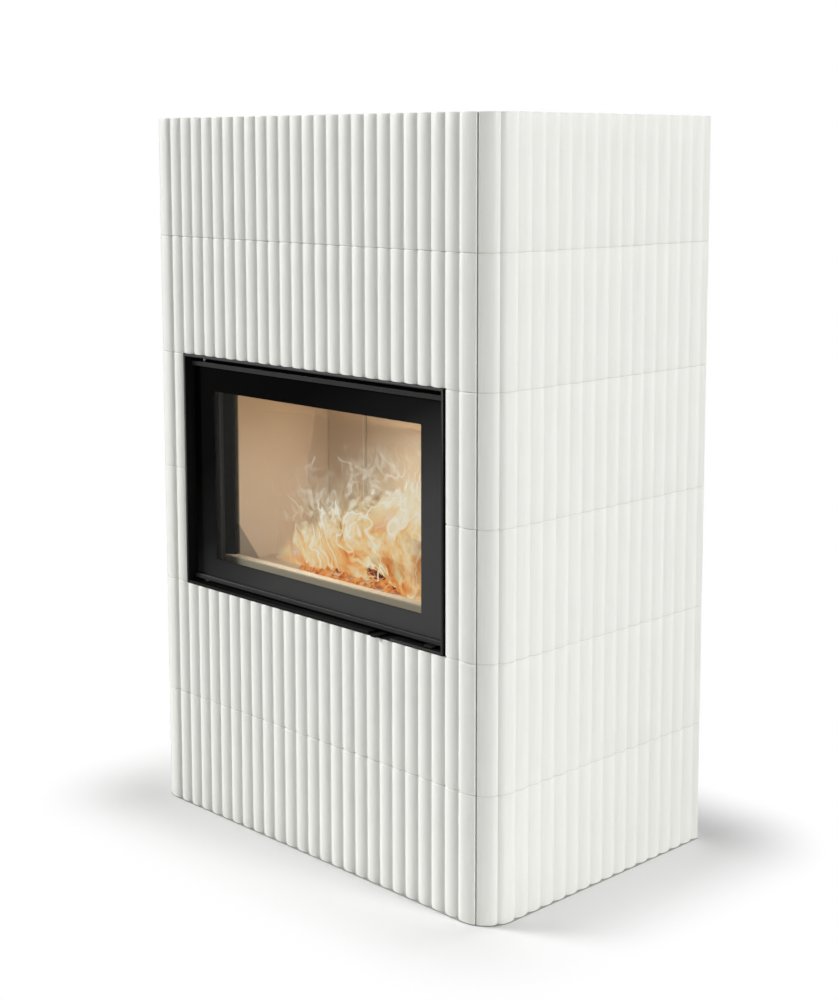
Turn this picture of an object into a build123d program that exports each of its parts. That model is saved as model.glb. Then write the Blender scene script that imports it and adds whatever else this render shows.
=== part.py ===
from build123d import *
from math import asin, cos, degrees, radians, sin, sqrt
import os

# Reeded tile stove with a wide glass door: six courses of white glazed tiles around a steel
# fire box. Millimetres, +Z up, front towards -Y, origin on the floor under the middle of the
# object's box. A depth is measured backwards from the plane of the front rib crowns.

# ---- tile casing ----
COURSES = 6
TILE_H = 248.0
COURSE_GAP = 2.0
BASE_T = 2.0
TILE_T = 45.0
RIB_PITCH = 36.0
RIB_DEPTH = 5.0
FRONT_RIBS = 24
SIDE_RIBS = 15
OPENING_RIBS = 22
CORNER_R = 65.0
FLANK_RUN = 14.5
JOINT_ANGLE = 26.0
JOINT_GAP = 2.0
JOINT_BEVEL = 1.2
EDGE_ROUND = 3.5
EDGE_PROUD = 0.5
STRIP_INSET = 15.0
STRIP_W = 23.0
STRIP_END = 6.0
BELOW_DOOR_COURSES = 2
DOOR_COURSES = 2

# ---- carrying frame, top and back of the casing ----
POST_LEG = 30.0
POST_T = 3.0
SHEET_FIT = 1.0
TOP_PLATE_T = 3.0
TOP_RECESS = 3.0
TOP_SLOT_L = 90.0
TOP_SLOT_W = 12.0
TOP_SLOT_PITCH_X = 115.0
TOP_SLOT_PITCH_Y = 30.0
TOP_SLOT_COLUMNS = 7
TOP_SLOT_ROWS = 2
TOP_SLOT_REAR = 60.0
BACK_PLATE_T = 2.0
BACK_VENT_L = 90.0
BACK_VENT_W = 10.0
BACK_VENT_PITCH_X = 120.0
BACK_VENT_PITCH_Z = 26.0
BACK_VENT_COLUMNS = 6
BACK_VENT_ROWS = 4
BACK_VENT_LOW = 140.0
BACK_VENT_HIGH = 130.0
CASING_SCREW_R = 2.0
CASING_SCREW_HEAD_R = 4.5
CASING_SCREW_HEAD_T = 2.0
CASING_SCREW_ROWS = 4
CASING_SCREW_END = 110.0
SCREW_CLEAR = 0.2

# ---- front frame and fire box ----
FRAME_T = 6.0
FRAME_SIDE_CLEAR = 1.0
FRAME_SET_BACK = 0.5
FRONT_PLATE_DEPTH = 62.0
PLATE_T = 4.0
FIRE_HALF_W = 300.0
FIRE_DEPTH = 252.0
FIRE_FRONT_GAP = 6.0
LINING_T = 30.0
LINING_FIT = 1.0
LINING_SEAM = 1.0
HEARTH_T = 41.0
HEARTH_BRICKS = 3
LINING_H = 446.0
BACK_CENTRE_W = 340.0
BACK_SLOT_W = 10.0
MOUTH_HALF_W = 303.0
MOUTH_BOTTOM = 38.0
MOUTH_TOP = 445.0
BAFFLE_T = 25.0
BAFFLE_FRONT_GAP = 45.0
FIREBOX_H = 542.0
FLANGE_W = 30.0
BOLT_R = 3.0
BOLT_HEAD_R = 5.0
BOLT_HEAD_T = 4.0
BOLT_BITE = 3.5
BOLT_CLEAR = 0.2
BOLT_ROWS = 4
BOLT_END = 50.0
GUARD_HALF_W = 322.0
GUARD_H = 24.0
GUARD_DEPTH = 48.0
GUARD_END_FLAT = 3.0
GUARD_FIT = 0.3

# ---- flue ----
FLUE_R = 75.0
FLUE_WALL = 1.5
FLUE_SOCKET_H = 60.0
FLUE_DEPTH = 230.0
FLUE_SEAT = 4.0
COLLAR_FIT = 0.5
COLLAR_WALL = 7.0
COLLAR_H = 40.0
COLLAR_FLANGE_R = 97.0
COLLAR_FLANGE_T = 6.0
FLUE_TOP_FIT = 3.0
SOCKET_STOP = 1.5

# ---- stand under the fire box ----
STAND_TUBE = 30.0
STAND_TUBE_T = 2.0
STAND_RAIL_H = 30.0
CROSS_BAR_Z = 300.0
FOOT_R = 22.0
FOOT_T = 8.0
STEM_R = 6.0
STEM_H = 44.0
NUT_R = 11.0
NUT_T = 6.0
FOOT_TRAVEL = 8.0

# ---- combustion air ----
LEVER_X = 212.0
LEVER_W = 18.0
LEVER_T = 3.0
LEVER_REACH = 9.0
LEVER_NOSE_R = 5.0
LEVER_RUN = 0.5
LEVER_LEFT = 13.0
LEVER_RIGHT = 27.0
LEVER_END_CLEAR = 2.0
ARM_DEPTH = 73.0
ARM_W = 32.0
ARM_LEFT_X = 130.0
VALVE_HALF_L = 75.0
VALVE_RIGHT_X = 150.0
VALVE_DEPTH = 76.0
VALVE_W = 60.0
AIR_SLOT_L = 40.0
AIR_SLOT_W = 18.0
AIR_SLOT_PITCH = 50.0
AIR_SLOTS = 3
AIR_CHANNEL_H = 12.0
GUIDE_HALF_L = 100.0
GUIDE_FIT = 0.3
GUIDE_WEB = 4.0
GUIDE_LIP = 7.0
AIR_BOX_HALF_W = 105.0
AIR_BOX_H = 80.0
AIR_BOX_FRONT = 70.0
AIR_BOX_L = 180.0
AIR_BOX_T = 2.0
AIR_BOX_FIT = 1.0
DUCT_R = 50.0
DUCT_WALL = 1.5
DUCT_SOCKET_H = 60.0
DUCT_DEPTH = 190.0
DUCT_FIT = 0.3

# ---- door ----
DOOR_SIDE_GAP = 5.5
DOOR_BOTTOM_GAP = 6.0
DOOR_TOP_GAP = 10.0
RAIL_DEPTH = 15.0
RAIL_H = 10.0
RAIL_FLANGE_T = 2.0
RAIL_FLANGE_DEPTH = 44.0
RAIL_ROUND = 1.2
GLASS_DEPTH = 21.0
GLASS_T = 4.0
GLASS_FIT = 0.5
TAPE_T = 1.0
TAPE_W = 12.0
TAPE_INSET = 6.0
LEAF_T = 20.0
LEAF_SIDE_W = 51.5
LEAF_BOTTOM_W = 34.0
LEAF_TOP_W = 40.0
ROPE_W = 10.0
ROPE_INSET = 5.0
ROPE_CORNER_R = 20.0
ROPE_FREE = 0.4
RAIL_SCREW_R = 1.9
RAIL_SCREW_HEAD_R = 3.5
RAIL_SCREW_HEAD_T = 1.5
RAIL_SCREW_HOLE_L = 12.0
RAIL_SCREW_IN = 11.0
RAIL_SCREW_CLEAR = 0.1
RAIL_SCREWS = 4
RAIL_SCREW_PITCH = 200.0
RAIL_SCREW_DEPTH = 38.0

# ---- door hinge ----
HINGE_INSET = 24.0
HINGE_DEPTH = 31.0
PIN_R = 3.0
PIN_RUN = 0.05
PIN_IN_BUSH = 18.0
PIN_SEAT = 5.5
COLLAR_R = 6.5
COLLAR_FREE = 0.3
BUSH_WALL = 0.95
BUSH_L = 20.0
RAIL_HOLE_CLEAR = 0.6

# ---- door handle and latch ----
HANDLE_X = 350.0
HANDLE_DEPTH = 36.0
HANDLE_T = 3.0
HANDLE_TAB_W = 26.0
HANDLE_TAB_L = 31.0
HANDLE_TAB_R = 4.0
HANDLE_LIFT = 1.7
HUB_R = 5.5
HOOK_IN_R = 12.8
HOOK_OUT_R = 19.0
HOOK_START_ANGLE = 42.0
HOOK_END_ANGLE = 88.0
HOOK_ARM_END_ANGLE = 58.0
PIVOT_SEAT = 12.0
PIVOT_FLANGE_R = 5.2
PIVOT_FLANGE_T = 0.8
PIVOT_FREE = 0.4
KEEPER_R = 3.0
KEEPER_SWING_R = 9.2
KEEPER_ANGLE = 120.0
KEEPER_FREE = 0.8
KEEPER_SEAT = 5.0

# How far a cutting body runs past the face that it cuts.
CUT_PAST = 1.0

# ---- worked out from the sizes above ----
HALF_W = FRONT_RIBS * RIB_PITCH / 2 + CORNER_R + FLANK_RUN
DEPTH = CORNER_R + FLANK_RUN + SIDE_RIBS * RIB_PITCH + RIB_PITCH / 2
CROWN_Y = LEVER_REACH - (DEPTH + LEVER_REACH) / 2
FLANK_R = (FLANK_RUN**2 + RIB_DEPTH**2) / (2 * RIB_DEPTH)
COURSE_PITCH = TILE_H + COURSE_GAP
TOP_Z = BASE_T + (COURSES - 1) * COURSE_PITCH + TILE_H
OPENING_HALF_W = OPENING_RIBS * RIB_PITCH / 2
SILL_Z = BASE_T + BELOW_DOOR_COURSES * COURSE_PITCH - COURSE_GAP
HEAD_Z = BASE_T + (BELOW_DOOR_COURSES + DOOR_COURSES) * COURSE_PITCH
TOP_PLATE_Z = TOP_Z - TOP_RECESS - TOP_PLATE_T
INNER_HALF_W = HALF_W - TILE_T
CASING_SCREW_DEPTH = DEPTH - CASING_SCREW_HEAD_T
BACK_PLATE_DEPTH = CASING_SCREW_DEPTH - BACK_PLATE_T

FRAME_HALF_W = OPENING_HALF_W - FRAME_SIDE_CLEAR
FRAME_IN_HALF_W = FRAME_HALF_W - FRAME_T
FRAME_IN_BOTTOM = SILL_Z + FRAME_T
FRAME_IN_TOP = HEAD_Z - FRAME_T
BODY_DEPTH = FRONT_PLATE_DEPTH + PLATE_T
BOTTOM_Z = FRAME_IN_BOTTOM
HEARTH_BOTTOM_Z = BOTTOM_Z + PLATE_T
HEARTH_Z = HEARTH_BOTTOM_Z + HEARTH_T
LINING_DEPTH = BODY_DEPTH + FIRE_FRONT_GAP
BACK_LINING_DEPTH = LINING_DEPTH + FIRE_DEPTH
LINING_END = BACK_LINING_DEPTH + LINING_T
LINING_TOP_Z = HEARTH_BOTTOM_Z + LINING_H
WRAP_IN_HALF_W = FIRE_HALF_W + LINING_T + LINING_FIT
WRAP_HALF_W = WRAP_IN_HALF_W + PLATE_T
STAND_HALF_W = WRAP_HALF_W - STAND_TUBE / 2
WRAP_IN_DEPTH = LINING_END + LINING_FIT
WRAP_END = WRAP_IN_DEPTH + PLATE_T
WRAP_TOP_Z = HEARTH_BOTTOM_Z + FIREBOX_H
FIREBOX_TOP_Z = WRAP_TOP_Z + PLATE_T
FLUE_OUT_R = FLUE_R + FLUE_WALL
FLUE_TOP_Z = TOP_PLATE_Z + TOP_PLATE_T
MOUTH_LOW_Z = BOTTOM_Z + MOUTH_BOTTOM
MOUTH_HIGH_Z = BOTTOM_Z + MOUTH_TOP

DOOR_HALF_W = FRAME_IN_HALF_W - DOOR_SIDE_GAP
DOOR_LOW_Z = FRAME_IN_BOTTOM + DOOR_BOTTOM_GAP
DOOR_HIGH_Z = FRAME_IN_TOP - DOOR_TOP_GAP
LEAF_LOW_Z = DOOR_LOW_Z + RAIL_FLANGE_T
LEAF_HIGH_Z = DOOR_HIGH_Z - RAIL_FLANGE_T
LEAF_DEPTH = GLASS_DEPTH + GLASS_T + TAPE_T
LEAF_END = LEAF_DEPTH + LEAF_T
WINDOW_HALF_W = DOOR_HALF_W - LEAF_SIDE_W
WINDOW_LOW_Z = LEAF_LOW_Z + LEAF_BOTTOM_W
WINDOW_HIGH_Z = LEAF_HIGH_Z - LEAF_TOP_W
HINGE_X = HINGE_INSET - DOOR_HALF_W
BUSH_R = PIN_R + PIN_RUN + BUSH_WALL

LEVER_TOP_Z = BOTTOM_Z - LEVER_RUN
LEVER_LOW_Z = LEVER_TOP_Z - LEVER_T
ARM_LOW_Z = LEVER_LOW_Z - LEVER_T
SLOT_LEFT = LEVER_X - LEVER_W / 2 - LEVER_LEFT - LEVER_END_CLEAR
SLOT_RIGHT = LEVER_X + LEVER_W / 2 + LEVER_RIGHT + LEVER_END_CLEAR
AIR_BOX_LOW_Z = BOTTOM_Z - AIR_BOX_H
HANDLE_LOW_Z = FRAME_IN_BOTTOM + HANDLE_LIFT
STAND_BEAM_Z = BOTTOM_Z - STAND_RAIL_H
LEG_LOW_Z = BASE_T + FOOT_T + FOOT_TRAVEL + NUT_T


def y_at(depth):
    """The Y of a depth behind the plane of the front rib crowns."""
    return CROWN_Y + depth


def block(x0, x1, d0, d1, z0, z1):
    """A box between two X, two depths and two heights."""
    centre = ((x0 + x1) / 2, y_at((d0 + d1) / 2), (z0 + z1) / 2)
    return Pos(*centre) * Box(x1 - x0, d1 - d0, z1 - z0)


def upright(x, depth, r, z0, z1):
    """A cylinder along Z."""
    return Pos(x, y_at(depth), (z0 + z1) / 2) * Cylinder(r, z1 - z0)


def along_depth(x, z, r, d0, d1):
    """A cylinder along Y."""
    return Pos(x, y_at((d0 + d1) / 2), z) * Rot(90, 0, 0) * Cylinder(r, d1 - d0)


def row(count, pitch):
    """Places of an evenly spaced row about its middle."""
    return [(i - (count - 1) / 2) * pitch for i in range(count)]


def between(count, low, high):
    """Evenly spaced places from low to high."""
    return [low + i * (high - low) / (count - 1) for i in range(count)]


def both_sides(piece):
    """A piece and its mirror image across the middle plane."""
    return [piece, mirror(piece, about=Plane.YZ)]


def group(pieces):
    """Separate like pieces kept together in one node."""
    return Compound(children=list(pieces))


# ---- reeded outline ----


def flank_depth(run):
    """How far a rib's flank lies behind its crown, a distance away from the crown."""
    return FLANK_R - sqrt(FLANK_R**2 - run**2)


def corner_point(radius, angle):
    """A point on the right-hand corner, by its angle from straight ahead."""
    x = HALF_W - CORNER_R + radius * sin(radians(angle))
    return (x, y_at(CORNER_R) - radius * cos(radians(angle)))


def corner_arc(start, end):
    return ThreePointArc(
        corner_point(CORNER_R, start),
        corner_point(CORNER_R, (start + end) / 2),
        corner_point(CORNER_R, end),
    )


def corner_flank(crown, valley):
    """The flank of a rib on the round corner, from its crown's angle to its valley's."""
    return ThreePointArc(
        corner_point(CORNER_R, crown),
        corner_point(CORNER_R - flank_depth(FLANK_RUN / 2), (crown + valley) / 2),
        corner_point(CORNER_R - RIB_DEPTH, valley),
    )


def front_rib(x):
    """A whole rib of the front that starts at x."""
    return ThreePointArc(
        (x, y_at(RIB_DEPTH)), (x + RIB_PITCH / 2, y_at(0)), (x + RIB_PITCH, y_at(RIB_DEPTH))
    )


def front_flank():
    """From the front's last valley on the right up to where the round corner starts."""
    valley = FRONT_RIBS * RIB_PITCH / 2
    return ThreePointArc(
        (valley, y_at(RIB_DEPTH)),
        (valley + FLANK_RUN / 2, y_at(flank_depth(FLANK_RUN / 2))),
        (valley + FLANK_RUN, y_at(0)),
    )


def side_rib(depth):
    """A whole rib of the right-hand side that starts at a depth."""
    return ThreePointArc(
        (HALF_W - RIB_DEPTH, y_at(depth)),
        (HALF_W, y_at(depth + RIB_PITCH / 2)),
        (HALF_W - RIB_DEPTH, y_at(depth + RIB_PITCH)),
    )


def side_flank():
    """From the round corner's end down to the side's first valley."""
    return ThreePointArc(
        (HALF_W, y_at(CORNER_R)),
        (HALF_W - flank_depth(FLANK_RUN / 2), y_at(CORNER_R + FLANK_RUN / 2)),
        (HALF_W - RIB_DEPTH, y_at(CORNER_R + FLANK_RUN)),
    )


def last_half_rib():
    """The half rib that ends the side at the back."""
    rib_r = ((RIB_PITCH / 2) ** 2 + RIB_DEPTH**2) / (2 * RIB_DEPTH)
    quarter = RIB_PITCH / 4
    return ThreePointArc(
        (HALF_W - RIB_DEPTH, y_at(DEPTH - RIB_PITCH / 2)),
        (HALF_W - (rib_r - sqrt(rib_r**2 - quarter**2)), y_at(DEPTH - quarter)),
        (HALF_W, y_at(DEPTH)),
    )


def joint_point(radius, side):
    """A point of the upright joint's face, side -1 on the front tile, +1 on the corner tile."""
    x, y = corner_point(radius, JOINT_ANGLE)
    offset = side * JOINT_GAP / 2
    return (x + offset * cos(radians(JOINT_ANGLE)), y + offset * sin(radians(JOINT_ANGLE)))


def joint_inner(side):
    """Where the upright joint's face meets the back of the tile."""
    turn = radians(JOINT_ANGLE)
    offset = side * JOINT_GAP / 2
    return joint_point((CORNER_R - TILE_T + offset * sin(turn)) / cos(turn), side)


def joint_bevel(side):
    """The outer end of the upright joint's face, below its small bevel."""
    return joint_point(CORNER_R - JOINT_BEVEL, side)


def joint_crown_angle(side):
    """The angle on the corner where the bevel beside the upright joint starts."""
    away = JOINT_GAP / 2 + JOINT_BEVEL
    return JOINT_ANGLE + side * degrees(asin(away / CORNER_R))


def flip(point):
    return (-point[0], point[1])


def mirrored(curve):
    return mirror(curve, about=Plane.YZ)


def prism(edges, z0, z1):
    outline = Wire([edge for curve in edges for edge in curve.edges()])
    return Pos(0, 0, z0) * extrude(Face(outline), amount=z1 - z0)


def right_front_end():
    """The front's outline from its last valley, round to the upright joint and to its back."""
    crown = joint_crown_angle(-1)
    return [
        front_flank(),
        corner_arc(0, crown),
        Line(corner_point(CORNER_R, crown), joint_bevel(-1)),
        Line(joint_bevel(-1), joint_inner(-1)),
    ]


def tile_blank():
    """The casing's plain envelope for one course, with softly rounded upper and lower edges."""
    length = DEPTH + CORNER_R
    outline = Rectangle(2 * (HALF_W + EDGE_PROUD), length)
    outline = fillet(outline.vertices().sort_by(Axis.Y)[:2], CORNER_R + EDGE_PROUD)
    body = Pos(0, y_at(length / 2 - EDGE_PROUD), 0) * extrude(outline, amount=TILE_H)
    back = body.faces().sort_by(Axis.Y)[-1].center().Y
    levels = body.faces().sort_by(Axis.Z)
    rims = levels[0].edges() + levels[-1].edges()
    return fillet([edge for edge in rims if edge.center().Y < back - CUT_PAST], EDGE_ROUND)


def shaped_tile(edges, blank):
    """A tile cut from the blank, standing on z = 0."""
    return prism(edges, -CUT_PAST, TILE_H + CUT_PAST) & blank


def front_tile(blank):
    """A whole front tile, from one upright joint to the other."""
    end = right_front_end()
    ribs = [front_rib((i - FRONT_RIBS / 2) * RIB_PITCH) for i in range(FRONT_RIBS)]
    back = Line(joint_inner(-1), flip(joint_inner(-1)))
    return shaped_tile([*ribs, *end, *[mirrored(curve) for curve in end], back], blank)


def jamb_tile(blank):
    """The right-hand tile beside the door, from the opening to the upright joint."""
    count = (FRONT_RIBS - OPENING_RIBS) // 2
    ribs = [front_rib(OPENING_HALF_W + i * RIB_PITCH) for i in range(count)]
    corner = (OPENING_HALF_W, y_at(TILE_T))
    back = Line(joint_inner(-1), corner)
    reveal = Line(corner, (OPENING_HALF_W, y_at(RIB_DEPTH)))
    return shaped_tile([*ribs, *right_front_end(), back, reveal], blank)


def side_tile(blank):
    """The right-hand corner and side tile, in one L-shaped piece."""
    crown = joint_crown_angle(+1)
    valley = 90 - JOINT_ANGLE
    turn = degrees(FLANK_RUN / CORNER_R)
    start = CORNER_R + FLANK_RUN
    edges = [
        Line(joint_inner(+1), joint_bevel(+1)),
        Line(joint_bevel(+1), corner_point(CORNER_R, crown)),
        corner_arc(crown, valley - turn),
        corner_flank(valley - turn, valley),
        corner_flank(valley + turn, valley),
        corner_arc(valley + turn, 90),
        side_flank(),
        *[side_rib(start + i * RIB_PITCH) for i in range(SIDE_RIBS)],
        last_half_rib(),
        Line((HALF_W, y_at(DEPTH)), (INNER_HALF_W, y_at(DEPTH))),
        Line((INNER_HALF_W, y_at(DEPTH)), (INNER_HALF_W, y_at(TILE_T))),
        Line((INNER_HALF_W, y_at(TILE_T)), joint_inner(+1)),
    ]
    return shaped_tile(edges, blank)


def course_z(course):
    return BASE_T + (course - 1) * COURSE_PITCH


def tiles():
    """Every tile by its node's name: courses count from the floor."""
    blank = tile_blank()
    front = front_tile(blank)
    jamb = jamb_tile(blank)
    side = side_tile(blank)
    found = {}
    for course in range(1, COURSES + 1):
        up = Pos(0, 0, course_z(course))
        if BELOW_DOOR_COURSES < course <= BELOW_DOOR_COURSES + DOOR_COURSES:
            found[f"jamb_tile_right_{course}"] = up * jamb
            found[f"jamb_tile_left_{course}"] = up * mirror(jamb, about=Plane.YZ)
        else:
            found[f"front_tile_{course}"] = up * front
        found[f"side_tile_right_{course}"] = up * side
        found[f"side_tile_left_{course}"] = up * mirror(side, about=Plane.YZ)
    return found


def tile_joint_strips():
    """Mineral felt strips that the courses bed on, set back behind the ribs."""
    end_x = joint_inner(-1)[0] - STRIP_END
    d0, d1 = STRIP_INSET, STRIP_INSET + STRIP_W
    strips = []
    for course in range(1, COURSES):
        z0 = course_z(course) + TILE_H
        z1 = z0 + COURSE_GAP
        side = block(HALF_W - d1, HALF_W - d0, TILE_T, DEPTH - STRIP_END, z0, z1)
        strips += both_sides(side)
        if BELOW_DOOR_COURSES <= course <= BELOW_DOOR_COURSES + DOOR_COURSES:
            strips += both_sides(block(OPENING_HALF_W + FRAME_SIDE_CLEAR, end_x, d0, d1, z0, z1))
        else:
            strips.append(block(-end_x, end_x, d0, d1, z0, z1))
    return group(strips)


def base_plate():
    """The plinth plate that the tiles and the stand rest on."""
    outline = Rectangle(2 * HALF_W, DEPTH)
    outline = fillet(outline.vertices().sort_by(Axis.Y)[:2], CORNER_R)
    plate = Pos(0, y_at(DEPTH / 2), 0) * extrude(outline, amount=BASE_T)
    hole_r = DUCT_R + DUCT_WALL + DUCT_FIT
    return plate - upright(0, DUCT_DEPTH, hole_r, -CUT_PAST, BASE_T + CUT_PAST)


def corner_posts():
    """Four upright angles inside the corners of the casing."""
    x = INNER_HALF_W

    def angle(depth, towards):
        far = depth + towards * POST_LEG
        web = depth + towards * POST_T
        along_side = block(x - POST_T, x, min(depth, far), max(depth, far), BASE_T, TOP_PLATE_Z)
        across = block(x - POST_LEG, x, min(depth, web), max(depth, web), BASE_T, TOP_PLATE_Z)
        return along_side + across

    front = angle(TILE_T, +1)
    rear = angle(BACK_PLATE_DEPTH, -1)
    for z in casing_screw_heights():
        rear -= along_depth(
            casing_screw_x(),
            z,
            CASING_SCREW_R + SCREW_CLEAR,
            BACK_PLATE_DEPTH - POST_T - CUT_PAST,
            BACK_PLATE_DEPTH + CUT_PAST,
        )
    return group(both_sides(front) + both_sides(rear))


def casing_screw_x():
    return INNER_HALF_W - POST_LEG / 2


def casing_screw_heights():
    low = BASE_T + CASING_SCREW_END
    return between(CASING_SCREW_ROWS, low, TOP_PLATE_Z - CASING_SCREW_END)


def casing_screws():
    """Pan-head screws that hold the back plate on the rear posts."""
    screws = []
    for z in casing_screw_heights():
        x = casing_screw_x()
        head = along_depth(x, z, CASING_SCREW_HEAD_R, CASING_SCREW_DEPTH, DEPTH)
        shank_start = BACK_PLATE_DEPTH - POST_T
        head += along_depth(x, z, CASING_SCREW_R, shank_start, CASING_SCREW_DEPTH)
        screws += both_sides(head)
    return group(screws)


def back_plate():
    """The sheet that closes the back, with air vents low down and near the top."""
    half = INNER_HALF_W - SHEET_FIT
    plate = block(-half, half, BACK_PLATE_DEPTH, CASING_SCREW_DEPTH, BASE_T, TOP_PLATE_Z)
    rows = row(BACK_VENT_ROWS, BACK_VENT_PITCH_Z)
    heights = [BASE_T + BACK_VENT_LOW + z for z in rows]
    heights += [TOP_PLATE_Z - BACK_VENT_HIGH + z for z in rows]
    vents = Plane.XZ * SlotOverall(BACK_VENT_L, BACK_VENT_W)
    vent = extrude(vents, amount=2 * BACK_PLATE_T, both=True)
    for z in heights:
        for x in row(BACK_VENT_COLUMNS, BACK_VENT_PITCH_X):
            plate -= Pos(x, y_at(BACK_PLATE_DEPTH), z) * vent
    for z in casing_screw_heights():
        for x in (-casing_screw_x(), casing_screw_x()):
            plate -= along_depth(
                x,
                z,
                CASING_SCREW_R + SCREW_CLEAR,
                BACK_PLATE_DEPTH - CUT_PAST,
                CASING_SCREW_DEPTH + CUT_PAST,
            )
    return plate


def top_plate():
    """The sunk lid, with a hole for the flue and slots that let warm air out."""
    half = INNER_HALF_W - SHEET_FIT
    plate = block(
        -half, half, TILE_T + SHEET_FIT, CASING_SCREW_DEPTH, TOP_PLATE_Z, TOP_PLATE_Z + TOP_PLATE_T
    )
    hole_r = FLUE_OUT_R + FLUE_TOP_FIT
    plate -= upright(0, FLUE_DEPTH, hole_r, TOP_PLATE_Z - CUT_PAST, FLUE_TOP_Z + CUT_PAST)
    slot = extrude(SlotOverall(TOP_SLOT_L, TOP_SLOT_W), amount=2 * TOP_PLATE_T, both=True)
    for offset in row(TOP_SLOT_ROWS, TOP_SLOT_PITCH_Y):
        depth = CASING_SCREW_DEPTH - TOP_SLOT_REAR + offset
        for x in row(TOP_SLOT_COLUMNS, TOP_SLOT_PITCH_X):
            plate -= Pos(x, y_at(depth), TOP_PLATE_Z) * slot
    return plate


# ---- stand ----


def stand_corners():
    inset = STAND_TUBE / 2
    depths = (BODY_DEPTH + inset, WRAP_END - inset)
    return [(x, depth) for x in (-STAND_HALF_W, STAND_HALF_W) for depth in depths]


def stand_legs():
    """Four square tubes that carry the fire box."""
    tube = Box(STAND_TUBE, STAND_TUBE, STAND_BEAM_Z - LEG_LOW_Z)
    hollow = STAND_TUBE - 2 * STAND_TUBE_T
    tube -= Box(hollow, hollow, STAND_BEAM_Z - LEG_LOW_Z + 2 * CUT_PAST)
    middle = (STAND_BEAM_Z + LEG_LOW_Z) / 2
    return group(Pos(x, y_at(depth), middle) * tube for x, depth in stand_corners())


def stand_rails():
    """Two beams under the fire box and two cross bars between the legs."""
    half = STAND_TUBE / 2
    x = STAND_HALF_W
    beam = block(x - half, x + half, BODY_DEPTH, WRAP_END, STAND_BEAM_Z, BOTTOM_Z)
    bars = [
        block(half - x, x - half, d, d + STAND_TUBE, CROSS_BAR_Z, CROSS_BAR_Z + STAND_TUBE)
        for d in (BODY_DEPTH, WRAP_END - STAND_TUBE)
    ]
    return group(both_sides(beam) + bars)


def levelling_feet():
    """Four screw feet with their nuts, between the plinth plate and the legs."""
    feet = []
    for x, depth in stand_corners():
        disc_top = BASE_T + FOOT_T
        foot = upright(x, depth, FOOT_R, BASE_T, disc_top)
        foot += upright(x, depth, STEM_R, disc_top, disc_top + STEM_H)
        foot += upright(x, depth, NUT_R, LEG_LOW_Z - NUT_T, LEG_LOW_Z)
        feet.append(foot)
    return group(feet)


# ---- front frame and fire box ----


def front_frame():
    """The deep black frame around the door, with the air lever's groove in its sill."""
    d0 = FRAME_SET_BACK
    d1 = FRONT_PLATE_DEPTH
    frame = block(-FRAME_HALF_W, FRAME_HALF_W, d0, d1, SILL_Z, HEAD_Z)
    frame -= block(
        -FRAME_IN_HALF_W, FRAME_IN_HALF_W, d0 - CUT_PAST, d1 + CUT_PAST, FRAME_IN_BOTTOM, FRAME_IN_TOP
    )
    frame -= block(
        SLOT_LEFT,
        SLOT_RIGHT,
        d0 - CUT_PAST,
        d1 + CUT_PAST,
        LEVER_LOW_Z - LEVER_RUN,
        FRAME_IN_BOTTOM + CUT_PAST,
    )
    frame -= upright(HINGE_X, HINGE_DEPTH, PIN_R, SILL_Z - CUT_PAST, FRAME_IN_BOTTOM + CUT_PAST)
    frame -= upright(HINGE_X, HINGE_DEPTH, PIN_R, FRAME_IN_TOP - CUT_PAST, HEAD_Z + CUT_PAST)
    x, depth = keeper_place()
    frame -= upright(x, depth, KEEPER_R, FRAME_IN_BOTTOM - KEEPER_SEAT, FRAME_IN_BOTTOM + CUT_PAST)
    return frame


def bolt_places():
    x = WRAP_HALF_W + FLANGE_W / 2
    heights = between(BOLT_ROWS, HEARTH_BOTTOM_Z + BOLT_END, WRAP_TOP_Z - BOLT_END)
    return [(side * x, z) for side in (-1, 1) for z in heights]


def front_plate():
    """The sealing plate behind the frame, with the fire box's mouth in it."""
    d0 = FRONT_PLATE_DEPTH
    plate = block(-FRAME_HALF_W, FRAME_HALF_W, d0, BODY_DEPTH, BOTTOM_Z, FIREBOX_TOP_Z)
    plate -= block(
        -MOUTH_HALF_W, MOUTH_HALF_W, d0 - CUT_PAST, BODY_DEPTH + CUT_PAST, MOUTH_LOW_Z, MOUTH_HIGH_Z
    )
    for x, z in bolt_places():
        plate -= along_depth(x, z, BOLT_R + BOLT_CLEAR, BODY_DEPTH - BOLT_BITE, BODY_DEPTH + CUT_PAST)
    return plate


def firebox_wrap():
    """The folded steel sides and back of the fire box, with flanges for the front plate."""
    z0, z1 = HEARTH_BOTTOM_Z, WRAP_TOP_Z
    wrap = block(-WRAP_HALF_W, WRAP_HALF_W, BODY_DEPTH, WRAP_END, z0, z1)
    wrap -= block(
        -WRAP_IN_HALF_W,
        WRAP_IN_HALF_W,
        BODY_DEPTH - CUT_PAST,
        WRAP_IN_DEPTH,
        z0 - CUT_PAST,
        z1 + CUT_PAST,
    )
    far = WRAP_HALF_W + FLANGE_W
    for flange in both_sides(
        block(WRAP_IN_HALF_W, far, BODY_DEPTH, BODY_DEPTH + PLATE_T, z0, z1)
    ):
        wrap += flange
    for x, z in bolt_places():
        wrap -= along_depth(
            x, z, BOLT_R + BOLT_CLEAR, BODY_DEPTH - CUT_PAST, BODY_DEPTH + PLATE_T + CUT_PAST
        )
    return wrap


def firebox_bolts():
    """Bolts from behind that join the fire box to the front plate."""
    seat = BODY_DEPTH + PLATE_T
    bolts = []
    for x, z in bolt_places():
        bolt = along_depth(x, z, BOLT_HEAD_R, seat, seat + BOLT_HEAD_T)
        bolt += along_depth(x, z, BOLT_R, BODY_DEPTH - BOLT_BITE, seat)
        bolts.append(bolt)
    return group(bolts)


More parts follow.
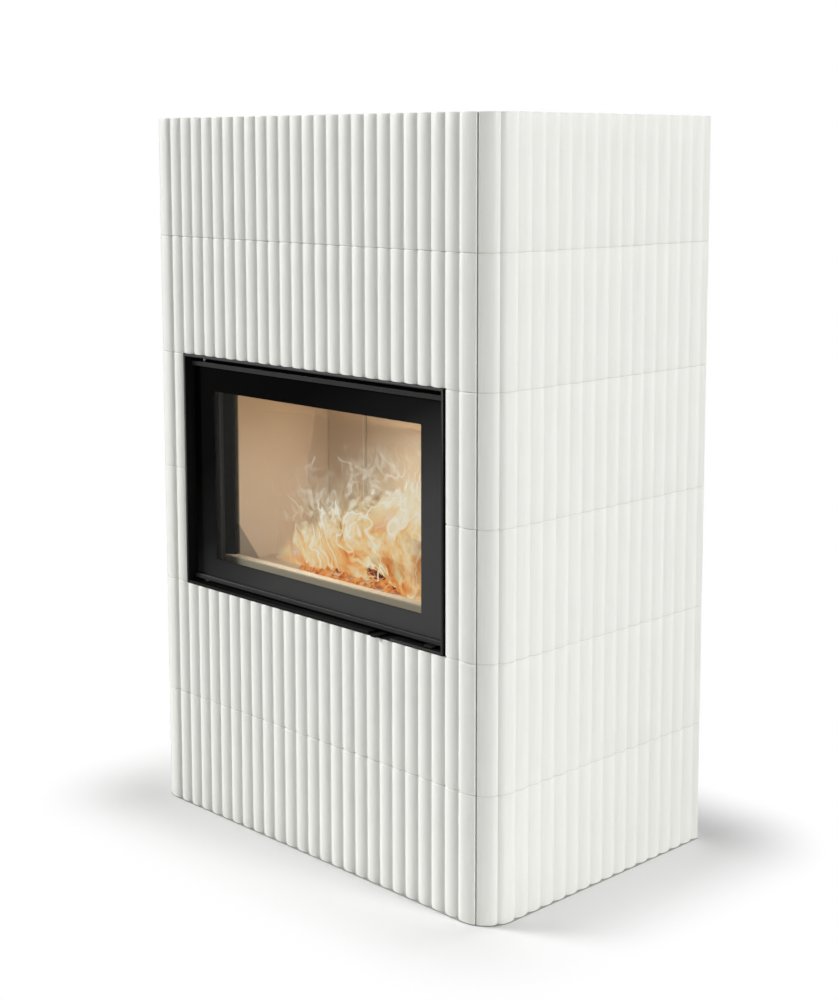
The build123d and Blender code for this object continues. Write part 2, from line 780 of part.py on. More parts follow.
def air_slot_places():
    return row(AIR_SLOTS, AIR_SLOT_PITCH)


def air_slot_depths():
    middle = VALVE_DEPTH + VALVE_W / 2
    return middle - AIR_SLOT_L / 2, middle + AIR_SLOT_L / 2


def firebox_bottom():
    """The fire box's floor sheet, with the slots that let combustion air in."""
    plate = block(
        -WRAP_HALF_W, WRAP_HALF_W, BODY_DEPTH, WRAP_END, BOTTOM_Z, HEARTH_BOTTOM_Z
    )
    d0, d1 = air_slot_depths()
    for x in air_slot_places():
        half = AIR_SLOT_W / 2
        plate -= block(x - half, x + half, d0, d1, BOTTOM_Z - CUT_PAST, HEARTH_BOTTOM_Z + CUT_PAST)
    return plate


def firebox_top():
    """The fire box's lid, with the flue outlet in it."""
    plate = block(-WRAP_HALF_W, WRAP_HALF_W, BODY_DEPTH, WRAP_END, WRAP_TOP_Z, FIREBOX_TOP_Z)
    return plate - upright(
        0, FLUE_DEPTH, FLUE_OUT_R - FLUE_SEAT, WRAP_TOP_Z - CUT_PAST, FIREBOX_TOP_Z + CUT_PAST
    )


def flue_collar():
    """The cast ring on the fire box that the flue pipe stands in."""
    in_r = FLUE_OUT_R + COLLAR_FIT
    z0 = FIREBOX_TOP_Z
    ring = upright(0, FLUE_DEPTH, in_r + COLLAR_WALL, z0, z0 + COLLAR_H)
    ring += upright(0, FLUE_DEPTH, COLLAR_FLANGE_R, z0, z0 + COLLAR_FLANGE_T)
    return ring - upright(0, FLUE_DEPTH, in_r, z0 - CUT_PAST, z0 + COLLAR_H + CUT_PAST)


def flue_pipe():
    """The pipe from the fire box up to the lid, with a socket on top for the chimney pipe."""
    pipe = upright(0, FLUE_DEPTH, FLUE_OUT_R, FIREBOX_TOP_Z, FLUE_TOP_Z)
    pipe -= upright(0, FLUE_DEPTH, FLUE_R, FLUE_TOP_Z - FLUE_SOCKET_H, FLUE_TOP_Z + CUT_PAST)
    return pipe - upright(
        0, FLUE_DEPTH, FLUE_R - SOCKET_STOP, FIREBOX_TOP_Z - CUT_PAST, FLUE_TOP_Z
    )


# ---- fire-resistant lining ----


def hearth_bricks():
    """The floor of the fire, in bricks side by side, with air let in behind the log guard."""
    full = 2 * (FIRE_HALF_W - LINING_SEAM)
    wide = (full - (HEARTH_BRICKS - 1) * LINING_SEAM) / HEARTH_BRICKS
    d1 = BACK_LINING_DEPTH - LINING_SEAM
    bricks = [
        block(x - wide / 2, x + wide / 2, LINING_DEPTH, d1, HEARTH_BOTTOM_Z, HEARTH_Z)
        for x in row(HEARTH_BRICKS, wide + LINING_SEAM)
    ]
    d0, d1 = air_slot_depths()
    channel = block(
        -VALVE_HALF_L,
        VALVE_HALF_L,
        LINING_DEPTH - CUT_PAST,
        d1,
        HEARTH_BOTTOM_Z - CUT_PAST,
        HEARTH_BOTTOM_Z + AIR_CHANNEL_H,
    )
    return group(brick - channel for brick in bricks)


def side_lining(side):
    """The tall slab on one side of the fire, side +1 right, -1 left."""
    near = side * FIRE_HALF_W
    far = side * (FIRE_HALF_W + LINING_T)
    x0, x1 = min(near, far), max(near, far)
    return block(x0, x1, LINING_DEPTH, LINING_END, HEARTH_BOTTOM_Z, LINING_TOP_Z)


def back_linings():
    """Three slabs at the back of the fire, with an open air slot on each side of the middle."""
    half = BACK_CENTRE_W / 2
    centre = block(-half, half, BACK_LINING_DEPTH, LINING_END, HEARTH_BOTTOM_Z, LINING_TOP_Z)
    side = block(
        half + BACK_SLOT_W,
        FIRE_HALF_W - LINING_SEAM,
        BACK_LINING_DEPTH,
        LINING_END,
        HEARTH_BOTTOM_Z,
        LINING_TOP_Z,
    )
    return group([centre, *both_sides(side)])


def baffle_plate():
    """The smoke baffle that lies on the lining, open at the front for the smoke to rise."""
    half = FIRE_HALF_W + LINING_T - LINING_FIT
    d0 = LINING_DEPTH + BAFFLE_FRONT_GAP
    return block(-half, half, d0, LINING_END, LINING_TOP_Z, LINING_TOP_Z + BAFFLE_T)


def log_guard():
    """The low fire-brick kerb behind the door, with slanted ends, laid in the mouth."""
    d0 = GUARD_DEPTH
    flat = d0 + GUARD_END_FLAT
    mouth = FRONT_PLATE_DEPTH - GUARD_FIT
    half = MOUTH_HALF_W - LINING_FIT
    end = LINING_DEPTH - LINING_SEAM
    right = [(GUARD_HALF_W, d0), (GUARD_HALF_W, flat), (half, mouth), (half, end)]
    corners = right + [(-x, d) for x, d in reversed(right)]
    outline = Polyline([(x, y_at(d)) for x, d in corners], close=True)
    kerb = extrude(make_face(outline), amount=GUARD_H)
    return Pos(0, 0, MOUTH_LOW_Z) * kerb


# ---- combustion air ----


def air_lever():
    """The flat lever in the sill: a finger tongue in front and an arm to the valve behind."""
    x0 = LEVER_X - LEVER_W / 2
    x1 = LEVER_X + LEVER_W / 2
    step_end = ARM_DEPTH + LEVER_T
    bar = block(x0, x1, -LEVER_REACH, step_end, LEVER_LOW_Z, LEVER_TOP_Z)
    nose = [e for e in bar.edges().filter_by(Axis.Z) if e.center().Y < y_at(0)]
    bar = fillet(nose, LEVER_NOSE_R)
    bar += block(x0, x1, ARM_DEPTH, step_end, ARM_LOW_Z, LEVER_TOP_Z)
    arm = block(ARM_LEFT_X, x1, ARM_DEPTH, ARM_DEPTH + ARM_W, ARM_LOW_Z, LEVER_LOW_Z)
    return bar + arm


def air_valve_plate():
    """The slotted plate under the fire box's floor that opens and shuts the air slots."""
    d1 = VALVE_DEPTH + VALVE_W
    gap = LEVER_T / 2
    plate = block(-VALVE_HALF_L, VALVE_RIGHT_X, VALVE_DEPTH + gap, d1, LEVER_LOW_Z, LEVER_TOP_Z)
    s0, s1 = air_slot_depths()
    half = AIR_SLOT_W / 2
    for x in air_slot_places():
        x += LEVER_LEFT
        plate -= block(x - half, x + half, s0, s1, LEVER_LOW_Z - CUT_PAST, LEVER_TOP_Z + CUT_PAST)
    return plate


def valve_guides():
    """Two lipped rails under the floor sheet that the valve plate slides in."""
    low = LEVER_LOW_Z - GUIDE_FIT
    front = VALVE_DEPTH + LEVER_T / 2 - GUIDE_FIT
    rear = VALVE_DEPTH + VALVE_W + GUIDE_FIT
    x0, x1 = -GUIDE_HALF_L, GUIDE_HALF_L
    near = block(x0, x1, front - GUIDE_WEB, front, low - LEVER_T, BOTTOM_Z)
    near += block(x0, x1, front - GUIDE_WEB, front - GUIDE_WEB + GUIDE_LIP, low - LEVER_T, low)
    far = block(x0, x1, rear, rear + GUIDE_WEB, low - LEVER_T, BOTTOM_Z)
    far += block(x0, x1, rear + GUIDE_WEB - GUIDE_LIP, rear + GUIDE_WEB, low - LEVER_T, low)
    return group([near, far])


def air_box():
    """The tray under the floor sheet that takes air from the duct to the valve."""
    w, t = AIR_BOX_HALF_W, AIR_BOX_T
    d0, d1 = AIR_BOX_FRONT, AIR_BOX_FRONT + AIR_BOX_L
    tray = block(-w, w, d0, d1, AIR_BOX_LOW_Z, BOTTOM_Z)
    tray -= block(t - w, w - t, d0 + t, d1 - t, AIR_BOX_LOW_Z + t, BOTTOM_Z + CUT_PAST)
    tray -= block(
        w - t - CUT_PAST,
        w + CUT_PAST,
        VALVE_DEPTH - AIR_BOX_FIT,
        VALVE_DEPTH + VALVE_W + AIR_BOX_FIT,
        LEVER_LOW_Z - AIR_BOX_FIT,
        BOTTOM_Z + CUT_PAST,
    )
    return tray - upright(
        0, DUCT_DEPTH, DUCT_R - SOCKET_STOP, AIR_BOX_LOW_Z - CUT_PAST, AIR_BOX_LOW_Z + t + CUT_PAST
    )


def air_duct():
    """The round duct that brings outside air up through the plinth plate, with a socket below."""
    duct = upright(0, DUCT_DEPTH, DUCT_R + DUCT_WALL, 0, AIR_BOX_LOW_Z)
    duct -= upright(0, DUCT_DEPTH, DUCT_R, -CUT_PAST, DUCT_SOCKET_H)
    return duct - upright(0, DUCT_DEPTH, DUCT_R - SOCKET_STOP, 0, AIR_BOX_LOW_Z + CUT_PAST)


# ---- door ----


def rail_screw_places():
    return row(RAIL_SCREWS, RAIL_SCREW_PITCH)


def door_frame():
    """The steel leaf behind the glass."""
    w = DOOR_HALF_W
    low, high = LEAF_LOW_Z, LEAF_HIGH_Z
    leaf = block(-w, w, LEAF_DEPTH, LEAF_END, low, high)
    leaf -= block(
        -WINDOW_HALF_W,
        WINDOW_HALF_W,
        LEAF_DEPTH - CUT_PAST,
        LEAF_END + CUT_PAST,
        WINDOW_LOW_Z,
        WINDOW_HIGH_Z,
    )
    leaf -= upright(HINGE_X, HINGE_DEPTH, BUSH_R, low - CUT_PAST, low + BUSH_L)
    leaf -= upright(HINGE_X, HINGE_DEPTH, BUSH_R, high - BUSH_L, high + CUT_PAST)
    leaf -= upright(HANDLE_X, HANDLE_DEPTH, PIN_R, low - CUT_PAST, low + PIVOT_SEAT)
    hole_r = RAIL_SCREW_R + RAIL_SCREW_CLEAR
    for x in rail_screw_places():
        leaf -= upright(x, RAIL_SCREW_DEPTH, hole_r, low - CUT_PAST, low + RAIL_SCREW_HOLE_L)
        leaf -= upright(x, RAIL_SCREW_DEPTH, hole_r, high - RAIL_SCREW_HOLE_L, high + CUT_PAST)
    return leaf


def door_glass():
    """The heat-proof pane that covers the whole leaf."""
    return block(
        -DOOR_HALF_W,
        DOOR_HALF_W,
        GLASS_DEPTH,
        GLASS_DEPTH + GLASS_T,
        LEAF_LOW_Z + GLASS_FIT,
        LEAF_HIGH_Z - GLASS_FIT,
    )


def ring(half_w, z0, z1, width, d0, d1):
    """A flat rectangular ring by its outer edge and its width."""
    outer = block(-half_w, half_w, d0, d1, z0, z1)
    return outer - block(
        width - half_w, half_w - width, d0 - CUT_PAST, d1 + CUT_PAST, z0 + width, z1 - width
    )


def glass_gasket():
    """The flat tape between the pane and the leaf, round the window."""
    reach = TAPE_INSET + TAPE_W
    return ring(
        WINDOW_HALF_W + reach,
        WINDOW_LOW_Z - reach,
        WINDOW_HIGH_Z + reach,
        TAPE_W,
        GLASS_DEPTH + GLASS_T,
        LEAF_DEPTH,
    )


def door_gasket():
    """The sealing rope behind the leaf, round the window."""
    reach = ROPE_INSET + ROPE_W
    wide = 2 * (WINDOW_HALF_W + reach)
    high = WINDOW_HIGH_Z - WINDOW_LOW_Z + 2 * reach
    rope = RectangleRounded(wide, high, ROPE_CORNER_R)
    rope -= RectangleRounded(wide - 2 * ROPE_W, high - 2 * ROPE_W, ROPE_CORNER_R - ROPE_W)
    end = FRONT_PLATE_DEPTH - ROPE_FREE
    place = Pos(0, y_at(end), (WINDOW_LOW_Z + WINDOW_HIGH_Z) / 2) * Rot(90, 0, 0)
    return place * extrude(rope, amount=end - LEAF_END)


def glass_rail(top):
    """One of the two rails that clamp the pane's upper or lower edge to the leaf."""
    w = DOOR_HALF_W
    if top:
        lip_z = (DOOR_HIGH_Z - RAIL_H, DOOR_HIGH_Z)
        flange_z = (DOOR_HIGH_Z - RAIL_FLANGE_T, DOOR_HIGH_Z)
    else:
        lip_z = (DOOR_LOW_Z, DOOR_LOW_Z + RAIL_H)
        flange_z = (DOOR_LOW_Z, DOOR_LOW_Z + RAIL_FLANGE_T)
    lip = block(-w, w, RAIL_DEPTH, GLASS_DEPTH, *lip_z)
    front = lip.faces().sort_by(Axis.Y)[0]
    lip = fillet(front.edges().filter_by(Axis.X), RAIL_ROUND)
    rail = lip + block(-w, w, GLASS_DEPTH, RAIL_FLANGE_DEPTH, *flange_z)
    z0, z1 = flange_z[0] - CUT_PAST, flange_z[1] + CUT_PAST
    rail -= upright(HINGE_X, HINGE_DEPTH, PIN_R + RAIL_HOLE_CLEAR, z0, z1)
    for x in rail_screw_places():
        rail -= upright(x, RAIL_SCREW_DEPTH, RAIL_SCREW_R + SCREW_CLEAR, z0, z1)
    if not top:
        rail -= upright(HANDLE_X, HANDLE_DEPTH, PIN_R + RAIL_HOLE_CLEAR, z0, z1)
    return rail


def rail_screws():
    """Small screws that hold both glass rails to the leaf."""
    screws = []
    for x in rail_screw_places():
        low = upright(x, RAIL_SCREW_DEPTH, RAIL_SCREW_R, DOOR_LOW_Z, LEAF_LOW_Z + RAIL_SCREW_IN)
        low += upright(
            x, RAIL_SCREW_DEPTH, RAIL_SCREW_HEAD_R, DOOR_LOW_Z - RAIL_SCREW_HEAD_T, DOOR_LOW_Z
        )
        high = upright(
            x, RAIL_SCREW_DEPTH, RAIL_SCREW_R, LEAF_HIGH_Z - RAIL_SCREW_IN, DOOR_HIGH_Z
        )
        high += upright(
            x, RAIL_SCREW_DEPTH, RAIL_SCREW_HEAD_R, DOOR_HIGH_Z, DOOR_HIGH_Z + RAIL_SCREW_HEAD_T
        )
        screws += [low, high]
    return group(screws)


def hinge_pins():
    """The lower pin, whose collar carries the door, and the upper pin, both set in the frame."""
    low_end = FRAME_IN_BOTTOM - PIN_SEAT
    lower = upright(HINGE_X, HINGE_DEPTH, PIN_R, low_end, LEAF_LOW_Z + PIN_IN_BUSH)
    lower += upright(HINGE_X, HINGE_DEPTH, COLLAR_R, FRAME_IN_BOTTOM, DOOR_LOW_Z - COLLAR_FREE)
    high_end = FRAME_IN_TOP + PIN_SEAT
    upper = upright(HINGE_X, HINGE_DEPTH, PIN_R, LEAF_HIGH_Z - PIN_IN_BUSH, high_end)
    return group([lower, upper])


def hinge_bushes():
    """The bushes pressed into the leaf that turn on the hinge pins."""
    bushes = []
    for z0 in (LEAF_LOW_Z, LEAF_HIGH_Z - BUSH_L):
        bush = upright(HINGE_X, HINGE_DEPTH, BUSH_R, z0, z0 + BUSH_L)
        bushes.append(
            bush - upright(HINGE_X, HINGE_DEPTH, PIN_R + PIN_RUN, z0 - CUT_PAST, z0 + BUSH_L + CUT_PAST)
        )
    return group(bushes)


# ---- handle and latch ----


def sector(r0, r1, start, end):
    """A flat piece of a ring about the origin, between two angles counted from +X."""

    def at(radius, angle):
        return (radius * cos(radians(angle)), radius * sin(radians(angle)))

    middle = (start + end) / 2
    outline = [
        ThreePointArc(at(r1, start), at(r1, middle), at(r1, end)),
        Line(at(r1, end), at(r0, end)),
        ThreePointArc(at(r0, end), at(r0, middle), at(r0, start)),
        Line(at(r0, start), at(r1, start)),
    ]
    return Face(Wire([edge for curve in outline for edge in curve.edges()]))


def door_handle():
    """The flat swing handle under the door: a finger tab in front and the latch hook behind."""
    tab = Pos(0, -HANDLE_TAB_L / 2) * RectangleRounded(HANDLE_TAB_W, HANDLE_TAB_L, HANDLE_TAB_R)
    hook = sector(HOOK_IN_R, HOOK_OUT_R, HOOK_START_ANGLE, HOOK_END_ANGLE)
    arm_r = (HOOK_IN_R + HOOK_OUT_R) / 2
    arm = sector((PIN_R + HUB_R) / 2, arm_r, HOOK_START_ANGLE, HOOK_ARM_END_ANGLE)
    handle = extrude(Circle(HUB_R), amount=HANDLE_T)
    for face in (tab, hook, arm):
        handle += extrude(face, amount=HANDLE_T)
    handle -= extrude(Circle(PIN_R + PIN_RUN), amount=HANDLE_T + CUT_PAST, both=True)
    return Pos(HANDLE_X, y_at(HANDLE_DEPTH), HANDLE_LOW_Z) * handle


def handle_pivot():
    """The headed pin set in the leaf that the handle turns on."""
    flange_top = HANDLE_LOW_Z - PIVOT_FREE
    pin = upright(HANDLE_X, HANDLE_DEPTH, PIN_R, flange_top, LEAF_LOW_Z + PIVOT_SEAT)
    return pin + upright(
        HANDLE_X, HANDLE_DEPTH, PIVOT_FLANGE_R, flange_top - PIVOT_FLANGE_T, flange_top
    )


def keeper_place():
    x = HANDLE_X + KEEPER_SWING_R * cos(radians(KEEPER_ANGLE))
    return x, HANDLE_DEPTH + KEEPER_SWING_R * sin(radians(KEEPER_ANGLE))


def latch_keeper():
    """The stud in the sill that the latch hook swings behind."""
    x, depth = keeper_place()
    return upright(
        x, depth, KEEPER_R, FRAME_IN_BOTTOM - KEEPER_SEAT, DOOR_LOW_Z - KEEPER_FREE
    )


def all_parts():
    parts = tiles()
    parts.update(
        tile_joint_strips=tile_joint_strips(),
        base_plate=base_plate(),
        corner_posts=corner_posts(),
        casing_screws=casing_screws(),
        back_plate=back_plate(),
        top_plate=top_plate(),
        stand_legs=stand_legs(),
        stand_rails=stand_rails(),
        levelling_feet=levelling_feet(),
        front_frame=front_frame(),
        front_plate=front_plate(),
        firebox_wrap=firebox_wrap(),
        firebox_bottom=firebox_bottom(),
        firebox_top=firebox_top(),
        firebox_bolts=firebox_bolts(),
        flue_collar=flue_collar(),
        flue_pipe=flue_pipe(),
        hearth_bricks=hearth_bricks(),
        side_lining_left=side_lining(-1),
        side_lining_right=side_lining(+1),
        back_linings=back_linings(),
        baffle_plate=baffle_plate(),
        log_guard=log_guard(),
        air_lever=air_lever(),
        air_valve_plate=air_valve_plate(),
        valve_guides=valve_guides(),
        air_box=air_box(),
        air_duct=air_duct(),
        door_frame=door_frame(),
        door_glass=door_glass(),
        glass_gasket=glass_gasket(),
        door_gasket=door_gasket(),
        glass_rail_top=glass_rail(top=True),
        glass_rail_bottom=glass_rail(top=False),
        rail_screws=rail_screws(),
        hinge_pins=hinge_pins(),
        hinge_bushes=hinge_bushes(),
        door_handle=door_handle(),
        handle_pivot=handle_pivot(),
        latch_keeper=latch_keeper(),
    )
    return parts


os.makedirs("parts", exist_ok=True)
for name, shape in all_parts().items():
    export_step(shape, f"parts/{name}.step")
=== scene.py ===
from math import asin, ceil, cos, pi, radians, sin

import bmesh
import bpy
from bpy.props import FloatProperty, FloatVectorProperty, IntProperty, PointerProperty
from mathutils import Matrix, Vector, noise


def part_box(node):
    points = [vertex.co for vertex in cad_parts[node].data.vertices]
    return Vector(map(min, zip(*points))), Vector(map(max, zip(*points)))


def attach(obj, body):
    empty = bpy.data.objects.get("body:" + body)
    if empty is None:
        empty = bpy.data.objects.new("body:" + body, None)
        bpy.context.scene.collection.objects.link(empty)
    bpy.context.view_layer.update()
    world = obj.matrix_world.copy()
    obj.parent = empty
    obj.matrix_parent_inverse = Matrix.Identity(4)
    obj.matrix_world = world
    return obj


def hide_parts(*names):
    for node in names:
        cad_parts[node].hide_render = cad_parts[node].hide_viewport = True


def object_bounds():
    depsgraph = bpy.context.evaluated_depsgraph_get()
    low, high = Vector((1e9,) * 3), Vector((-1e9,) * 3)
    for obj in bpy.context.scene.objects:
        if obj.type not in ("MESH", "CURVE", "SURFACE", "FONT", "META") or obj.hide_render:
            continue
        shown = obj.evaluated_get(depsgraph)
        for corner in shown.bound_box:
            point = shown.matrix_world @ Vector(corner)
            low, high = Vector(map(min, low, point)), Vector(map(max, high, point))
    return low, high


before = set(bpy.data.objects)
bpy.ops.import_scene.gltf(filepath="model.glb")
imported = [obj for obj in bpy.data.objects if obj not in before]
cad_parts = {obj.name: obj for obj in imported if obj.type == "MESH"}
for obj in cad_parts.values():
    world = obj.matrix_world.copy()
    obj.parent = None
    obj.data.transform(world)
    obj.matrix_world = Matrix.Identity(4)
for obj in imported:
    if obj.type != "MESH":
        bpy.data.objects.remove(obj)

bl_info = {
    "name": "Reeded Tile Stove",
    "version": (1, 0, 0),
    "blender": (4, 5, 0),
    "location": "3D View > Sidebar > Stove",
    "description": "Dresses the tiled stove: glazed tiles, steel fire box, glass door and fire",
    "category": "Object",
}

CAD_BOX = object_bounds()
FIRST_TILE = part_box("front_tile_1")
CORNER_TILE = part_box("side_tile_right_1")
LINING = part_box("side_lining_left")
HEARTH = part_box("hearth_bricks")
# The left lining turns grey low at its front, below a line that leaves the hearth this far behind
# the lining's front and falls backwards this steeply. It is blurred this far to either side.
GREY_CORNER_REACH = 0.052
GREY_CORNER_SLOPE = 1.55
GREY_CORNER_BLUR = 0.002
GREY_CORNER_EDGE = HEARTH[1].z + GREY_CORNER_SLOPE * (LINING[0].y + GREY_CORNER_REACH)
# The cuts along a tile where it has no rib, in metres.
PLAIN_STEP = 0.002
# How far from the stove the floor's shade runs out.
SHADE_REACH = 0.28
# About one over the ember heap's area in square metres.
PER_HEAP_AREA = 14.0


# ---- small tools ----


def linear(code):
    """The linear colour of an sRGB hex value."""
    parts = [int(code[i:i + 2], 16) / 255 for i in (1, 3, 5)]
    return (*[c / 12.92 if c <= 0.04045 else ((c + 0.055) / 1.055) ** 2.4 for c in parts], 1.0)


class Value:
    """One output of a node. A sign between two values adds one Math node."""

    def __init__(self, tree, socket):
        self.tree, self.socket = tree, socket

    def all(self):
        """Every output of the node that this one belongs to."""
        return [Value(self.tree, socket) for socket in self.socket.node.outputs]

    def math(self, operation, *others, **settings):
        """One Math node with this value first."""
        inputs = dict(enumerate((self, *others)))
        return add(self.tree, "Math", inputs, operation=operation, **settings)

    def vector(self, operation, *others, **named):
        """One Vector Math node with this value first."""
        inputs = {**dict(enumerate((self, *others))), **named}
        return add(self.tree, "VectorMath", inputs, operation=operation)

    def times_plus(self, factor, more):
        return self.math("MULTIPLY_ADD", factor, more)

    def __add__(self, other):
        return self.math("ADD", other)

    def __sub__(self, other):
        return self.math("SUBTRACT", other)

    def __rsub__(self, other):
        return add(self.tree, "Math", {0: other, 1: self}, operation="SUBTRACT")

    def __mul__(self, other):
        return self.math("MULTIPLY", other)

    def __truediv__(self, other):
        return self.math("DIVIDE", other)

    def __abs__(self):
        return self.math("ABSOLUTE")


def add(tree, kind, inputs=None, out=0, **settings):
    """Adds one node, sets or links its sockets and gives back one output. A kind without its
    family's name is a shader node, and a text that begins with # is an sRGB colour."""
    family = "" if kind.startswith(("Geometry", "Function", "NodeGroup")) else "ShaderNode"
    node = tree.nodes.new(family + kind)
    for name, value in settings.items():
        setattr(node, name, value)
    for name, value in (inputs or {}).items():
        if isinstance(value, Value):
            tree.links.new(value.socket, node.inputs[name])
        else:
            coded = isinstance(value, str) and value.startswith("#")
            node.inputs[name].default_value = linear(value) if coded else value
    return Value(tree, node.outputs[out]) if node.outputs else None


def new_finish(name):
    """A new material, and the place on the piece in metres."""
    material = bpy.data.materials.new(name)
    material.use_nodes = True
    tree = material.node_tree
    tree.nodes.clear()
    return material, add(tree, "TexCoord", out="Object")


def closed(material, surface):
    """Ends a finish in its shader."""
    add(material.node_tree, "OutputMaterial", {"Surface": surface})
    return material


def coated(material, colour, rough, normal=None, more=None):
    """Ends a finish in one Principled shader."""
    inputs = {"Base Color": colour, "Roughness": rough, **(more or {})}
    if normal:
        inputs["Normal"] = normal
    return closed(material, add(material.node_tree, "BsdfPrincipled", inputs))


def glowing(material, colour, density):
    """Ends a finish in light of a colour where it is dense and clear where it is not."""
    tree = material.node_tree
    glow = add(tree, "Emission", {"Color": colour, "Strength": 1.0})
    clear = add(tree, "BsdfTransparent")
    return closed(material, add(tree, "MixShader", {0: density, 1: clear, 2: glow}))


def grain(place, scale, detail, out="Fac", **more):
    """Soft noise, with its scale in waves to the metre."""
    inputs = {"Vector": place, "Scale": scale, "Detail": detail, **more}
    return add(place.tree, "TexNoise", inputs, out)


def cells(place, scale, out="Distance", **settings):
    """Uneven cells, with their scale in cells to the metre."""
    return add(place.tree, "TexVoronoi", {"Vector": place, "Scale": scale}, out, **settings)


def span(value, low, high, first=0.0, last=1.0, kind="LINEAR"):
    """Runs from low to high while the value runs from first to last."""
    return add(value.tree, "MapRange", {0: value, 1: first, 2: last, 3: low, 4: high},
               interpolation_type=kind)


def blend(share, low, high, **settings):
    """A colour between two."""
    tree = next(value.tree for value in (share, low) if isinstance(value, Value))
    return add(tree, "Mix", {0: share, 6: low, 7: high}, 2, data_type="RGBA", **settings)


def relief(height, strength, distance):
    """The slope of a height, with its distance in metres."""
    return add(height.tree, "Bump",
               {"Strength": strength, "Distance": distance, "Height": height})


def mark(place, name):
    """A number that the geometry keeps under a name, for a finish."""
    return add(place.tree, "Attribute", out="Fac", attribute_name=name)


def stored(tree, name, kind="FLOAT"):
    """What the geometry keeps under a name, for a geometry tree."""
    return add(tree, "GeometryNodeInputNamedAttribute", {"Name": name}, data_type=kind)


def store(geometry, name, value):
    """Keeps a number on every point under a name."""
    return add(geometry.tree, "GeometryNodeStoreNamedAttribute",
               {"Geometry": geometry, "Name": name, "Value": value},
               data_type="FLOAT", domain="POINT")


def chance(seed, low, high):
    """A random number, or three of them, between two bounds."""
    kind, first = ("FLOAT_VECTOR", 0) if isinstance(low, tuple) else ("FLOAT", 2)
    return add(seed.tree, "FunctionNodeRandomValue",
               {first: low, first + 1: high, "Seed": seed}, first // 2, data_type=kind)


def axes_of(place):
    return add(place.tree, "SeparateXYZ", {0: place}).all()


def smooth(mesh, crease=38):
    """Rounds the shading everywhere but across creases of more than that many degrees."""
    mesh.shade_smooth()
    mesh.set_sharp_from_angle(angle=radians(crease))


def to_mesh(shape, name):
    """Turns a shape's faces outwards and makes it a mesh."""
    bmesh.ops.recalc_face_normals(shape, faces=shape.faces)
    mesh = bpy.data.meshes.new(name)
    shape.to_mesh(mesh)
    shape.free()
    return mesh


def piece(name, mesh, body, replaces=()):
    """A finished piece: its object at the origin, riding on its body."""
    obj = bpy.data.objects.new(name, mesh)
    bpy.context.scene.collection.objects.link(obj)
    if replaces:
        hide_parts(*replaces)
    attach(obj, body)
    return obj


def grow(name, mesh, tree, values):
    """Runs a geometry tree on a mesh and gives back the result as a plain mesh."""
    seed = bpy.data.objects.new(name + "_seed", mesh)
    bpy.context.scene.collection.objects.link(seed)
    modifier = seed.modifiers.new("shape", "NODES")
    modifier.node_group = tree
    for item in tree.interface.items_tree:
        if item.item_type == "SOCKET" and item.in_out == "INPUT" and item.name in values:
            modifier[item.identifier] = values[item.name]
    seed.update_tag()
    graph = bpy.context.evaluated_depsgraph_get()
    grown = bpy.data.meshes.new_from_object(seed.evaluated_get(graph), depsgraph=graph)
    grown.name = name
    bpy.data.objects.remove(seed)
    return grown


def new_tree(name, inputs):
    """A geometry tree and its inputs by name."""
    tree = bpy.data.node_groups.new(name, "GeometryNodeTree")
    tree.interface.new_socket("Geometry", in_out="INPUT", socket_type="NodeSocketGeometry")
    for label, kind in inputs:
        tree.interface.new_socket(label, in_out="INPUT", socket_type="NodeSocket" + kind)
    tree.interface.new_socket("Geometry", in_out="OUTPUT", socket_type="NodeSocketGeometry")
    return tree, {value.socket.name: value for value in add(tree, "NodeGroupInput").all()}


def close_tree(tree, geometry, material):
    """Ends a tree in real geometry with its material."""
    real = add(tree, "GeometryNodeRealizeInstances", {"Geometry": geometry})
    made = add(tree, "GeometryNodeSetMaterial", {"Geometry": real, "Material": material})
    add(tree, "NodeGroupOutput", {0: made})


def joined(name, meshes):
    """One mesh of several that share their finishes."""
    whole = bmesh.new()
    for mesh in meshes:
        whole.from_mesh(mesh)
    made = bpy.data.meshes.new(name)
    whole.to_mesh(made)
    whole.free()
    for finish in meshes[0].materials:
        made.materials.append(finish)
    smooth(made)
    return made


def solids_of(node):
    """The lowest and highest corner of each solid of a CAD node, in the mesh's own order."""
    shape = solid_of(node)
    seen, found = set(), []
    for first in shape.verts:
        if first in seen:
            continue
        seen.add(first)
        reached, spots = [first], []
        while reached:
            vert = reached.pop()
            spots.append(vert.co.copy())
            near = {edge.other_vert(vert) for edge in vert.link_edges} - seen
            seen |= near
            reached += near
        found.append((Vector(map(min, zip(*spots))), Vector(map(max, zip(*spots)))))
    shape.free()
    return found


def solid_of(node):
    """A merged copy of a CAD node's mesh, with its flat faces whole again."""
    shape = bmesh.new()
    shape.from_mesh(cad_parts[node].data)
    bmesh.ops.remove_doubles(shape, verts=shape.verts, dist=1e-6)
    bmesh.ops.dissolve_limit(
        shape, angle_limit=radians(1), verts=shape.verts, edges=shape.edges
    )
    return shape


def eased(node, radius, steps=2, crease=30):
    """A CAD solid with its sharp edges rounded off."""
    shape = solid_of(node)
    sharp = [edge for edge in shape.edges
             if len(edge.link_faces) == 2 and edge.calc_face_angle() > radians(crease)]
    bmesh.ops.bevel(
        shape, geom=sharp, offset=radius, segments=steps, affect="EDGES", clamp_overlap=True
    )
    mesh = to_mesh(shape, node + "_eased")
    smooth(mesh)
    return mesh


def eased_piece(node, name, radius, steps, finish, slot):
    """A fixed piece that shows a CAD node with its edges rounded off."""
    mesh = eased(node, radius, steps)
    mesh.materials.append(FINISHES[finish])
    piece(name, mesh, "stove_body", [node])


